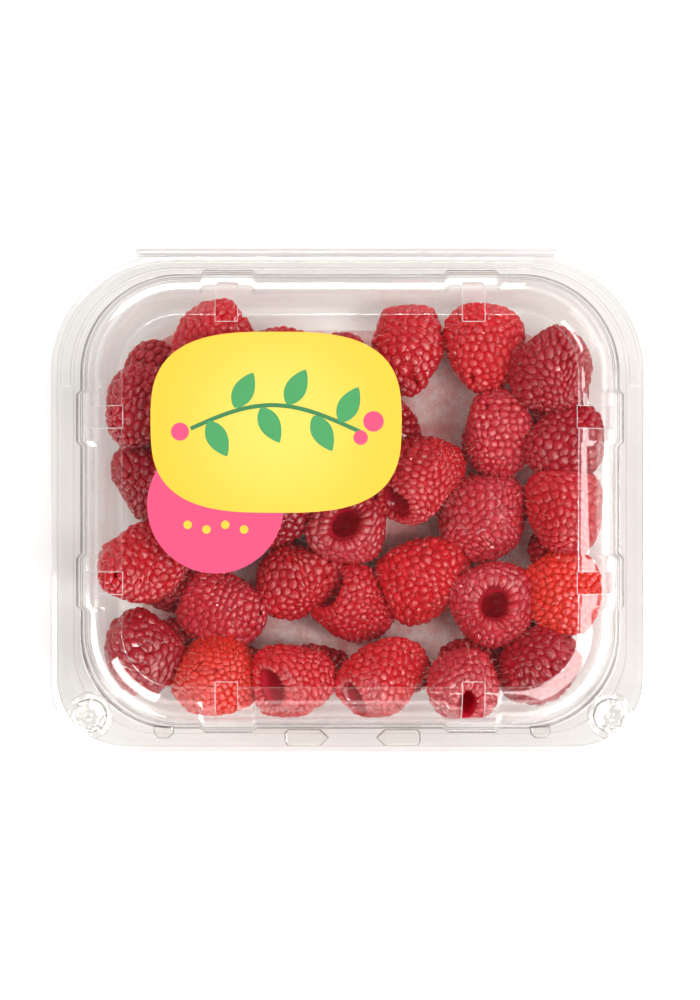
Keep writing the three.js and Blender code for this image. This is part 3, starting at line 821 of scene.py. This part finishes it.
def ballTemplate(sides, levels):
    # unit ball as triangles, finer on its upper side, as the lower one is sunk in the flesh
    a = np.linspace(0, 2 * math.pi, sides, endpoint=False)
    t = np.radians(levels)
    points = [[0, 0, 1]]
    points += [[math.sin(v) * math.cos(u), math.sin(v) * math.sin(u), math.cos(v)] for v in t for u in a]
    points.append([0, 0, -1])
    faces = []
    last = 1 + (len(levels) - 1) * sides
    for i in range(sides):
        j = (i + 1) % sides
        faces.append((0, 1 + i, 1 + j))
        for p in range(1, last, sides):
            q = p + sides
            faces += [(p + i, q + i, q + j), (p + i, q + j, p + j)]
        faces.append((last + i, len(points) - 1, last + j))
    return np.array(points), np.array(faces)


fineBall = ballTemplate(berryLook["sides"], berryLook["levels"])
coarseBall = ballTemplate(berryLook["lowSides"], berryLook["lowLevels"])


def berryProfile(radius, length, taper, hollow):
    # half outline of the berry from inside its hollow, over the rim and the widest part, to the tip:
    # distance from the axis as a share of the radius, and height as a share of the length
    knots = np.array([(hollow, 0.24), (hollow + 0.005, 0.14), (hollow + 0.03, 0.055),
                      (hollow + 0.11, 0.005), (hollow + 0.24, -0.005), (0.74, 0.025), (0.88, 0.1),
                      (0.97, 0.22), (1.0, 0.36), (0.97, 0.52), (0.88, 0.68), (0.72, 0.82), (0.5, 0.92),
                      (0.25, 0.98), (0.0, 1.0)])
    knots[:, 0] *= 1 - taper * np.clip(knots[:, 1] - 0.3, 0, 1) ** 1.5 * (1 - knots[:, 1] * 0.3)
    last = len(knots) - 1
    steps = np.linspace(0, last, 281)
    curve = np.column_stack([np.interp(steps, np.arange(last + 1), knots[:, k]) for k in (0, 1)])
    kernel = np.hanning(23) / np.hanning(23).sum()
    padded = np.pad(curve, ((11, 11), (0, 0)), mode="reflect", reflect_type="odd")
    curve = np.column_stack([np.convolve(padded[:, k], kernel, "valid") for k in (0, 1)])
    curve[:, 0] = np.maximum(curve[:, 0] * radius, 0)
    curve[:, 1] = (curve[:, 1] - 0.5) * length
    return curve


def spreadDrupelets(arc, reachAt, pitch, start, draw):
    # rows of drupelets, then pushed about until none crowds its neighbours
    jitter = berryLook["jitter"]
    spots = []
    s = start + 0.45 * pitch
    while s < arc[-1] - 0.3 * pitch:
        count = max(1, int(round(2 * math.pi * reachAt(s) / pitch)))
        turn = draw.uniform(0, 6.28)
        spots += [(s, turn + 2 * math.pi * i / count) for i in range(count)]
        s += berryLook["rowStep"] * pitch
    spots.append((arc[-1], 0.0))
    spots = np.array(spots) + draw.normal(0, 1, (len(spots), 2)) * [jitter * pitch, 0]
    spots[:, 1] += draw.normal(0, jitter, len(spots)) * pitch / np.maximum(reachAt(spots[:, 0]), 2)
    size = pitch * np.clip(draw.normal(1, berryLook["uneven"], len(spots)), *berryLook["sizeRange"])
    wanted = (size[:, None] + size[None, :]) / 2
    for _ in range(berryLook["passes"]):
        r = reachAt(spots[:, 0])
        ds = spots[:, None, 0] - spots[None, :, 0]
        turned = spots[:, None, 1] - spots[None, :, 1]
        turned = (turned + math.pi) % (2 * math.pi) - math.pi
        da = turned * (r[:, None] + r[None, :]) / 2
        apart = np.hypot(ds, da) + np.eye(len(spots)) * 99
        push = 0.4 * np.clip(wanted - apart, 0, None) / np.maximum(apart, 0.2)
        spots[:, 0] = np.clip(spots[:, 0] + 0.5 * (push * ds).sum(1), start + 0.3 * pitch, arc[-1] - 0.05)
        spots[:, 1] += 0.5 * (push * da).sum(1) / np.maximum(r, 1.0)
    near = np.sort(apart, axis=1)[:, :4].mean(1)
    return spots, np.clip(2 * size * near / (size + pitch), 0.72 * pitch, 1.4 * pitch)


def makeBerry(berry, seed):
    draw = np.random.default_rng(seed)
    ballPoints, ballFaces = coarseBall if berry["kind"] == "lowRed" else fineBall
    radius, length, pitch = berry["radius"], berry["length"], berry["pitch"] * berryLook["finer"]
    taper = draw.uniform(*berryLook["taper"])
    curve = berryProfile(radius, length, taper, berryLook["hollow"] * berry["open"])
    arc = np.concatenate([[0], np.cumsum(np.linalg.norm(np.diff(curve, axis=0), axis=1))])
    # the outline carried on past both ends, so that drupelets can bend over them
    longArc = np.concatenate([[-3], arc, 2 * arc[-1] - arc[-2:-60:-1]])
    start = curve[0] - 3 * (curve[1] - curve[0]) / arc[1]
    longCurve = np.concatenate([[start], curve, curve[-2:-60:-1] * [-1, 1]])
    at = lambda s: (np.interp(s, longArc, longCurve[:, 0]), np.interp(s, longArc, longCurve[:, 1]))
    rimAt = arc[np.argmin(curve[:, 1])] - 0.3
    rimHalf = berryLook["rimHalfLength"]
    spots, spans = spreadDrupelets(arc, lambda s: at(s)[0], pitch, rimAt + rimHalf - 0.2, draw)
    rimCount = int(round(2 * math.pi * at(rimAt)[0] / berryLook["rimWidth"]))
    rimS = rimAt + draw.normal(0, 0.3, rimCount)
    rimA = (np.arange(rimCount) + draw.normal(0, 0.1, rimCount)) * 2 * math.pi / rimCount
    rim = np.column_stack([rimS, rimA])
    isRim = np.arange(rimCount + len(spots)) < rimCount
    s, a = np.concatenate([rim, spots]).T
    n = len(s)
    halfSpans = berryLook["overlap"] * spans
    across = np.where(isRim, berryLook["rimOverlap"] * berryLook["rimWidth"], 0)
    across[rimCount:] = halfSpans
    along = np.where(isRim, rimHalf * draw.normal(1, 0.09, n), 0)
    along[rimCount:] = halfSpans * draw.normal(1, 0.05, n - rimCount)
    relief = np.where(isRim, berryLook["rimRelief"], berryLook["relief"])
    thick = relief * across * draw.normal(1, 0.05, n)
    sink = thick - berryLook["standOut"] - draw.normal(0, 0.09, n)
    lean = draw.normal(0, 0.1, (2, n, 1))
    # every drupelet is a cushion laid along the outline: u across, v along, w out
    u, v, w = (np.sign(ballPoints) * np.abs(ballPoints) ** berryLook["roundness"]).T
    where = s[:, None] + v[None] * along[:, None]
    r, z = at(where)
    rAhead, zAhead = at(where + 0.05)
    tangent = np.stack([rAhead - r, zAhead - z], -1)
    tangent /= np.linalg.norm(tangent, axis=-1)[..., None]
    ca, sa = np.cos(a)[:, None], np.sin(a)[:, None]
    side = np.stack([-sa, ca, 0 * ca], -1)
    normal = np.stack([tangent[..., 1] * ca, tangent[..., 1] * sa, -tangent[..., 0]], -1)
    forward = np.stack([tangent[..., 0] * ca, tangent[..., 0] * sa, tangent[..., 1]], -1)
    out = w[None] * thick[:, None] - sink[:, None]
    # rim drupelets narrow towards the hollow
    narrow = np.where(isRim[:, None], np.clip(r / at(rimAt)[0], 0.75, 1.25), 1)
    points = np.stack([r * ca, r * sa, z], -1) + normal * out[..., None]
    points += side * (u[None] * across[:, None] * narrow + lean[0] * w * thick[:, None])[..., None]
    points += forward * (lean[1] * w * thick[:, None])[..., None]
    faces = (ballFaces[None] + np.arange(n)[:, None, None] * len(ballPoints)).reshape(-1, 3)
    crown = np.broadcast_to(ballPoints[None, :, 2], points.shape[:2]).ravel()
    tone = np.repeat(draw.normal(0, 1, n), len(ballPoints))
    # hairs: each drupelet's dried style, a fine curved thread from the top of its cushion
    few, many, most = berryLook["hairShare"]
    share = few if berry["kind"] == "lowRed" else many
    pick = np.flatnonzero(draw.random(n) < np.where(isRim, most, share))
    lengths = draw.uniform(*berryLook["hairLength"], len(pick)) * np.where(isRim[pick], 0.5, 1)
    hairs = [points[pick, 0] - 0.12 * normal[pick, 0], normal[pick, 0], forward[pick, 0], lengths,
             draw.uniform(-1, 1, (len(pick), 2))]
    # flesh behind the drupelets, with the hollow that the core left
    depth = np.clip(curve[:, 1], -length / 2 + 0.8, length / 2 - 0.9)
    shell = np.column_stack([np.maximum(curve[:, 0] - 0.8, 0), depth])
    inside = berryLook["hollow"] * berry["open"] * radius + 0.45
    hollow = np.array([(0.1, 0.2), (0.45, 0.17), (0.72, 0.06), (0.9, -0.12), (0.97, -0.3)])
    mouth = [[inside, -length / 2 + 1.2], [inside + 0.7, -length / 2 + 0.8]]
    ends = curve[:, 0] > curve[0, 0] + 1.6
    wall = np.concatenate([hollow * [inside, length], mouth, shell[ends][::12]])
    sides = berryLook["coreSides"]
    b = np.linspace(0, 2 * math.pi, sides, endpoint=False)
    rings = [np.column_stack([q * np.cos(b), q * np.sin(b), np.full(sides, h)])
             for q, h in wall if q > 0.05]
    core, coreFaces = closedLoft(rings)
    faces = np.concatenate([faces, coreFaces + points.shape[0] * points.shape[1]])
    lining = np.hypot(core[:, 0], core[:, 1]) < inside + 0.1
    tone = np.concatenate([tone, np.where(lining, -9.0, -0.6)])
    tone[-1] = -0.6
    crown = np.concatenate([crown, np.full(len(core), -1.0)])
    points = np.concatenate([points.reshape(-1, 3), core])
    # every berry leans, bends and dents in its own way
    stretch = np.array([draw.uniform(*span) for span in berryLook["stretch"]] + [1])

    def bend(spots):
        wave = np.column_stack([valueNoise(spots, seed * 3 + c, berryLook["bendSize"]) for c in range(3)])
        return spots * stretch + wave * berryLook["bend"]

    hairs[0] = bend(hairs[0])
    return bend(points), faces, tone, crown, hairs


def turnMatrix(turn, up):
    tip = Vector((math.cos(math.radians(up)) * math.cos(math.radians(turn)),
                  math.cos(math.radians(up)) * math.sin(math.radians(turn)), math.sin(math.radians(up))))
    return np.array(Vector((0, 0, 1)).rotation_difference(tip).to_matrix())


def giveWay(past):
    # squeezes what would reach past a surface into the last of the room before it, relief and all
    return -berryLook["softness"] * np.logaddexp(0, -past / berryLook["softness"])


def insideRoom(points):
    # squashes what reaches the plastic against it
    grow = np.interp(points[:, 2], berryLook["wallLevels"], berryLook["wallInsets"])
    halfW, front = mouthPlan[0] + grow, mouthPlan[1] - grow
    back, r = mouthPlan[2] + grow, mouthPlan[3] + grow
    middle = (front + back) / 2
    dx, dy = points[:, 0], points[:, 1] - middle
    px, py = np.abs(dx) - (halfW - r), np.abs(dy) - ((back - front) / 2 - r)
    ox, oy = np.maximum(px, 0), np.maximum(py, 0)
    reach = np.hypot(ox, oy)
    past = reach + np.minimum(np.maximum(px, py), 0) - r
    inward = past - giveWay(past)
    straight = reach < 1e-6
    ux = np.where(straight, px > py, ox / np.maximum(reach, 1e-6))
    uy = np.where(straight, px <= py, oy / np.maximum(reach, 1e-6))
    points[:, 0] -= np.sign(dx) * ux * inward
    points[:, 1] -= np.sign(dy) * uy * inward
    lowest, highest = berryLook["lowest"], berryLook["highest"]
    points[:, 2] = lowest - giveWay(lowest - points[:, 2])
    points[:, 2] = highest + giveWay(points[:, 2] - highest)
    return points


fleshFinish = {
    "haze": 7.0,             # mm between patches of bloom
    "hazeShare": 0.13,
    "grain": 0.45,           # mm, coarser than real skin so that it shows
    "grainHeight": 0.08,
    "lining": ("#B00422", "#E8243F"),  # deep and light streaks in the hollow
    "streak": 1.1,           # mm between them
    "roughness": 0.08,
    "scatter": 1.6,          # mm that red light travels in the flesh
}


def fleshMaterial(kind):
    # ripe drupelets: thin wet-looking skin over flesh that lets light through, with small sharp glints;
    # the red of the creases is painted in: a painted glow, and on the low berries painted shade
    flesh, paintedCreaseLight, bloom = (linearColor(c) for c in berryKinds[kind])
    material, tree = newMaterial("raspberryFlesh_" + kind)
    place = addNode(tree, "TexCoord").outputs["Object"]
    tone = addNode(tree, "Attribute", attribute_name="tone").outputs["Fac"]
    crown = addNode(tree, "Attribute", attribute_name="crown").outputs["Fac"]
    # painted light: low on each drupelet's cushion the colour turns to the crease colour
    high = addNode(tree, "MapRange", {"Value": crown, "From Min": -0.1, "From Max": 0.65})
    body = addNode(tree, "Mix", {"Factor": high.outputs[0], "A": paintedCreaseLight, "B": flesh}, data_type="RGBA")
    riper = addNode(tree, "MapRange", {"Value": tone, "From Min": 0.3, "From Max": 3.0, "To Max": 0.6})
    deeper = addNode(tree, "Mix", {"Factor": riper.outputs[0], "A": body.outputs["Result"], "B": paintedCreaseLight},
                     data_type="RGBA")
    patch = addNode(tree, "TexNoise", {"Vector": place, "Scale": 1 / (fleshFinish["haze"] * mm),
                                       "Detail": 2.0})
    haze = addNode(tree, "MapRange", {"Value": patch.outputs[0], "From Min": 0.4, "From Max": 0.75,
                                      "To Max": fleshFinish["hazeShare"]})
    final = addNode(tree, "Mix", {"Factor": haze.outputs[0], "A": deeper.outputs["Result"], "B": bloom},
                    data_type="RGBA")
    grain = addNode(tree, "TexNoise", {"Vector": place, "Scale": 1 / (fleshFinish["grain"] * mm),
                                       "Detail": 2.0})
    bump = addNode(tree, "Bump", {"Height": grain.outputs[0], "Strength": 0.06,
                                  "Distance": fleshFinish["grainHeight"] * mm})
    # the hollow's lining is deeper and more saturated
    lining = addNode(tree, "MapRange", {"Value": tone, "From Min": -6.0, "From Max": -5.0, "To Min": 1.0,
                                        "To Max": 0.0})
    veins = addNode(tree, "TexNoise", {"Vector": place, "Scale": 1 / (fleshFinish["streak"] * mm),
                                       "Detail": 2.0})
    deep, light = (linearColor(c) for c in fleshFinish["lining"])
    streaks = addNode(tree, "Mix", {"Factor": veins.outputs[0], "A": deep, "B": light}, data_type="RGBA")
    final = addNode(tree, "Mix", {"Factor": lining.outputs[0], "A": final.outputs["Result"],
                                  "B": streaks.outputs["Result"]}, data_type="RGBA")
    shader = addNode(tree, "BsdfPrincipled", {
        "Base Color": final.outputs["Result"], "Roughness": fleshFinish["roughness"], "IOR": 1.5,
        "Specular IOR Level": 0.38, "Subsurface Weight": 0.5,
        "Subsurface Radius": (1.0, 0.22, 0.16), "Subsurface Scale": fleshFinish["scatter"] * mm,
        "Sheen Weight": 0.03, "Sheen Roughness": 0.45, "Sheen Tint": bloom})
    finishMaterial(tree, shader, bump)
    return material


def hairMaterial():
    # dry, pale and half glossy, so thin light lines
    material, tree = newMaterial("driedStyleHair")
    shader = addNode(tree, "BsdfPrincipled", {"Base Color": linearColor(berryLook["hairColor"]),
                                              "Roughness": 0.4})
    finishMaterial(tree, shader)
    return material


def addTones(piece, tone, crown):
    for name, values in (("tone", tone), ("crown", crown)):
        layer = piece.data.attributes.new(name, "FLOAT", "POINT")
        layer.data.foreach_set("value", np.asarray(values, dtype=np.float32))


def buildBerries():
    groups = {}
    hairPoints, hairFaces, hairCount = [], [], 0
    down, aside = berryLook["hairBow"]
    for seed, berry in enumerate(settleBerries(berryList), 1):
        points, faces, tone, crown, hairs = makeBerry(berry, seed)
        turn = turnMatrix(berry["turn"], berry["up"])
        points = insideRoom(points @ turn.T + np.array(berry["at"]))
        group = groups.setdefault(berry["kind"], [[], [], [], [], 0])
        group[0].append(points)
        group[1].append(faces + group[4])
        group[2].append(tone)
        group[3].append(crown)
        group[4] += len(points)
        roots, normals, along, lengths, lean = hairs
        roots, normals, along = roots @ turn.T + np.array(berry["at"]), normals @ turn.T, along @ turn.T
        sideways = np.cross(normals, along)
        for root, n, t, s, size, (u, v) in zip(roots, normals, along, sideways, lengths, lean):
            ring = np.array([0, 2 * math.pi / 3, 4 * math.pi / 3])
            around = np.cos(ring)[:, None] * t + np.sin(ring)[:, None] * s
            for k, (h, w) in enumerate(berryLook["hairTaper"]):
                spot = root + n * size * (h - down * h * h) + (t * u + s * v) * size * aside * h * h
                rim = spot + berryLook["hairWidth"] * w * around
                hairPoints.append(rim)
                if k:
                    for i in range(3):
                        a, b = hairCount + i - 3, hairCount + (i + 1) % 3 - 3
                        hairFaces += [(a, b, b + 3), (a, b + 3, a + 3)]
                hairCount += 3
            hairFaces.append((hairCount - 12, hairCount - 10, hairCount - 11))
            hairFaces.append((hairCount - 3, hairCount - 2, hairCount - 1))
    for kind, (points, faces, tone, crown, _) in groups.items():
        piece = meshObject("raspberries_" + kind, np.concatenate(points), np.concatenate(faces),
                           [fleshMaterial(kind)], "tray")
        addTones(piece, np.concatenate(tone), np.concatenate(crown))
        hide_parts("raspberries")
        print("berries:", kind, len(piece.data.polygons), "faces")
    hair = meshObject("raspberryHairs", insideRoom(np.concatenate(hairPoints)), hairFaces,
                      [hairMaterial()], "tray")
    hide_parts("raspberries")
    print("hairs:", len(hair.data.polygons), "faces")


buildBerries()


# label: coated paper sticker with flat printed inks and hardly a sheen

labelShape = {
    "panel": (-17.3, 18.2, 29.4, 21.2, 3.0),   # middle, half sizes and the squareness of its outline
    "tag": (-31.5, -1.2, 16.0),  # middle and radius
    "low": 37.72,          # underside of the tag
    "thick": 0.12,
    "overlap": 0.1,        # the panel lies this much higher than the tag
    "ink": 0.02,
    "inkOverlap": 0.005,   # leaves and dots lie this much higher than the stem
    "stem": (40, 5.5, 0.5),  # length, rise and half width of the stem
    "leaf": (9.4, 5.0, 62, 4.6),  # length, width, lean in degrees, distance from the stem
    # x and y from the panel's middle, and radius
    "fruits": ((-22.5, -2.2, 2.1), (22.8, 0.2, 2.4), (19.8, -3.6, 1.7)),
    "tagDots": (4, 4.4, 1.0),  # count, distance apart, radius
}
labelInks = {
    "yellow": "#FFCA2A",
    "warmYellow": "#FFDB58",
    "pink": "#FF4576",
    "green": "#3E9E58",
    "darkGreen": "#2C7F45",
    "paper": "#F3F1EC",
}


def inkMaterial(name, color, second=None, centre=(0, 0), spread=30.0):
    # strong flat colour with hardly a sheen; the panel's yellow pales towards its middle
    material, tree = newMaterial("coatedPaperInk_" + name)
    links = {"Base Color": linearColor(color), "Roughness": 0.5, "Specular IOR Level": 0.15,
             "Coat Weight": 0.02, "Coat Roughness": 0.2}
    if second:
        place = addNode(tree, "TexCoord").outputs["Object"]
        middle = (centre[0] * mm, centre[1] * mm, pack["domeTopZ"] * mm)
        away = addNode(tree, "VectorMath", {0: place, 1: middle}, operation="DISTANCE")
        near = addNode(tree, "MapRange", {"Value": away.outputs["Value"], "From Min": 4 * mm,
                                          "From Max": spread * mm}, interpolation_type="SMOOTHSTEP")
        mixed = addNode(tree, "Mix", {"Factor": near.outputs[0], "A": linearColor(second),
                                      "B": linearColor(color)}, data_type="RGBA")
        links["Base Color"] = mixed.outputs["Result"]
    shader = addNode(tree, "BsdfPrincipled", links)
    finishMaterial(tree, shader)
    return material


def backingMaterial():
    # plain matt white, seen only when the lid is up
    material, tree = newMaterial("uncoatedPaperBack")
    shader = addNode(tree, "BsdfPrincipled", {"Base Color": linearColor(labelInks["paper"]),
                                              "Roughness": 0.7})
    finishMaterial(tree, shader)
    return material


def flatShape(outlines, z, thick):
    points, faces, count = [], [], 0
    for ring in outlines:
        ring = np.array(ring, dtype=float)
        rings = [np.column_stack([ring, np.full(len(ring), h)]) for h in (z, z + thick)]
        body, bodyFaces = closedLoft(rings)
        points.append(body)
        faces.append(bodyFaces + count)
        count += len(body)
    return np.concatenate(points), np.concatenate(faces)


def roundOutline(cx, cy, rx, ry, power=2.0, steps=96):
    a = np.linspace(0, 2 * math.pi, steps, endpoint=False)
    x = rx * np.sign(np.cos(a)) * np.abs(np.cos(a)) ** (2 / power)
    y = ry * np.sign(np.sin(a)) * np.abs(np.sin(a)) ** (2 / power)
    return np.column_stack([cx + x, cy + y])


def leafOutline(cx, cy, length, width, turn, steps=24):
    t = np.linspace(0, 1, steps)
    half = width / 2 * np.sin(math.pi * t ** 0.85) ** 0.8
    x = (t - 0.5) * length
    upper, lower = np.column_stack([x, half]), np.column_stack([x, -half])[::-1]
    ring = np.concatenate([upper[:-1], lower[:-1]])
    c, s = math.cos(math.radians(turn)), math.sin(math.radians(turn))
    return ring @ np.array([[c, s], [-s, c]]) + [cx, cy]


def buildLabel():
    px, py, halfW, halfH, power = labelShape["panel"]
    tx, ty, tagR = labelShape["tag"]
    z, thick, ink = labelShape["low"], labelShape["thick"], labelShape["ink"]
    overlap, inkOverlap = labelShape["overlap"], labelShape["inkOverlap"]
    inks = {
        "labelTag": ([roundOutline(tx, ty, tagR, tagR)], z, thick,
                     inkMaterial("pink", labelInks["pink"])),
        "labelPanel": ([roundOutline(px, py, halfW, halfH, power, 160)], z + overlap, thick,
                       inkMaterial("yellow", labelInks["yellow"], labelInks["warmYellow"], (px, py))),
    }
    # a sprig: curved stem, leaves on alternate sides, round fruits at its ends
    length, rise, halfStem = labelShape["stem"]
    stem = [(px - length / 2 + length * t, py - 1.5 + rise * math.sin(t * math.pi * 1.05))
            for t in np.linspace(0, 1, 40)]
    strokes = []
    for a, b in zip(np.array(stem), np.array(stem[1:])):
        n = np.array([-(b - a)[1], (b - a)[0]]) / np.linalg.norm(b - a) * halfStem
        strokes.append([a - n, b - n, b + n, a + n])
    leafLength, leafWidth, lean, away = labelShape["leaf"]
    leaves = []
    for i in range(5, 38, 6):
        x, y = stem[i]
        up = 1 if (i // 6) % 2 else -1
        leaves.append(leafOutline(x + 1.2, y + up * away, leafLength, leafWidth, up * lean))
    fruits = [roundOutline(px + x, py + y, r, r, steps=40) for x, y, r in labelShape["fruits"]]
    count, apart, dotR = labelShape["tagDots"]
    dots = [roundOutline(tx - 6.5 + apart * i, ty - 4.6 - 1.1 * (i % 2), dotR, dotR, steps=28)
            for i in range(count)]
    top = z + overlap + thick
    inks["labelStem"] = (strokes, top, ink, inkMaterial("darkGreen", labelInks["darkGreen"]))
    inks["labelLeaves"] = (leaves, top + inkOverlap, ink, inkMaterial("green", labelInks["green"]))
    inks["labelDots"] = (fruits, top + inkOverlap, ink, inkMaterial("pinkDot", labelInks["pink"]))
    inks["labelTagDots"] = (dots, z + thick, ink, inkMaterial("yellowDot", labelInks["yellow"]))
    back = backingMaterial()
    for name, (rings, low, thickness, material) in inks.items():
        points, faces = flatShape(rings, low, thickness)
        under = (points[faces][:, :, 2] < low + 0.001).all(1)
        piece = meshObject(name, points, faces, [material, back], "lid", smooth=False, faceMaterial=under)
        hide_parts("label")


buildLabel()
print("label done")


# floor, light and camera

studio = {
    "floor": "#FAFAFA",
    "floorGlow": 0.07,      # the floor is lit a little from below, like a light table
    # radiance of the white room at left and right, and of the dark opening above the pack
    "air": (0.3, 0.68, 0.08),
    "opening": (0.972, 0.984),  # outer and inner edge, as the height of a direction of length one
    # name: degrees round from +X, degrees from straight up, distance, size across and along in mm,
    # radiance, lights things, mirrors in their gloss
    "softboxes": {
        "overhead": (90, 2, 1400, (800, 800), 1.4, True, False),
        "keyRight": (-14, 28, 1200, (210, 420), 20.0, True, False),
        "fillLeft": (155, 35, 1200, (260, 420), 12.0, True, False),
        "cardRight": (-38, 56, 900, (1200, 800), 7.0, False, True),
        "cardHigh": (-25, 21, 900, (560, 260), 3.5, False, True),
        "cardBackRight": (35, 57, 900, (366, 160), 11.0, False, True),
        "cardFrontLeft": (227, 77, 900, (690, 420), 14.0, False, True),
        "cardFront": (-90, 80, 1000, (1300, 200), 3.0, False, True),
        "glintBack": (105, 18, 1000, (380, 150), 34.0, False, True),
        "glintLeft": (215, 18, 1000, (240, 150), 30.0, False, True),
        "glintRight": (-25, 18, 1000, (320, 150), 34.0, False, True),
    },
    "cameraHeight": 646.0,
    "sensor": 36.0,
    "field": 167.06,        # mm seen across the picture at the flange
}


def aimAt(piece, azimuth, fromUp, distance):
    a, t = math.radians(azimuth), math.radians(fromUp)
    toward = Vector((math.sin(t) * math.cos(a), math.sin(t) * math.sin(a), math.cos(t)))
    piece.location = toward * distance * mm
    piece.rotation_euler = piece.location.to_track_quat("Z", "Y").to_euler()


def buildStudio():
    bpy.ops.mesh.primitive_plane_add(size=4.0, location=(0, 0, 0))
    floor = bpy.context.object
    floor.name = "studioFloor"
    material, tree = newMaterial("matPaperFloor")
    # seamless white paper, with no gloss to mirror the pack
    shader = addNode(tree, "BsdfPrincipled", {
        "Base Color": linearColor(studio["floor"]), "Roughness": 0.9, "Specular IOR Level": 0.2,
        "Emission Color": (1, 1, 1, 1), "Emission Strength": studio["floorGlow"]})
    finishMaterial(tree, shader)
    floor.data.materials.append(material)
    scene = bpy.context.scene
    world = bpy.data.worlds.new("studioAir")
    world.use_nodes = True
    sky = world.node_tree
    up = addNode(sky, "SeparateXYZ", {0: addNode(sky, "TexCoord").outputs["Generated"]})
    left, right, ceiling = studio["air"]
    wall = addNode(sky, "MapRange", {"Value": up.outputs["X"], "From Min": -0.5, "From Max": 0.5,
                                     "To Min": left, "To Max": right})
    glow = addNode(sky, "MapRange", {"Value": up.outputs["Z"], "From Min": studio["opening"][0],
                                     "From Max": studio["opening"][1], "To Min": wall.outputs[0],
                                     "To Max": ceiling})
    sky.links.new(glow.outputs[0], sky.nodes["Background"].inputs["Strength"])
    sky.nodes["Background"].inputs["Color"].default_value = (1, 1, 1, 1)
    scene.world = world
    for name, softbox in studio["softboxes"].items():
        azimuth, fromUp, distance, size, radiance, lights, mirrors = softbox
        light = bpy.data.lights.new(name, "AREA")
        light.shape = "RECTANGLE"
        light.size, light.size_y = size[0] * mm, size[1] * mm
        light.energy = radiance * math.pi * light.size * light.size_y
        lamp = bpy.data.objects.new(name, light)
        lamp.visible_diffuse, lamp.visible_glossy = lights, mirrors
        aimAt(lamp, azimuth, fromUp, distance)
        bpy.context.collection.objects.link(lamp)
    camera = bpy.data.cameras.new("studioCamera")
    camera.sensor_fit = "HORIZONTAL"
    camera.sensor_width = studio["sensor"]
    camera.lens = studio["sensor"] * (studio["cameraHeight"] - pack["trayRimZ"]) / studio["field"]
    camera.clip_end = 20
    view = bpy.data.objects.new("studioCamera", camera)
    view.location = (0, 0, studio["cameraHeight"] * mm)
    bpy.context.collection.objects.link(view)
    scene.camera = view
    scene.view_settings.view_transform = "Standard"
    scene.cycles.transparent_max_bounces = 32


buildStudio()
print("studio done")
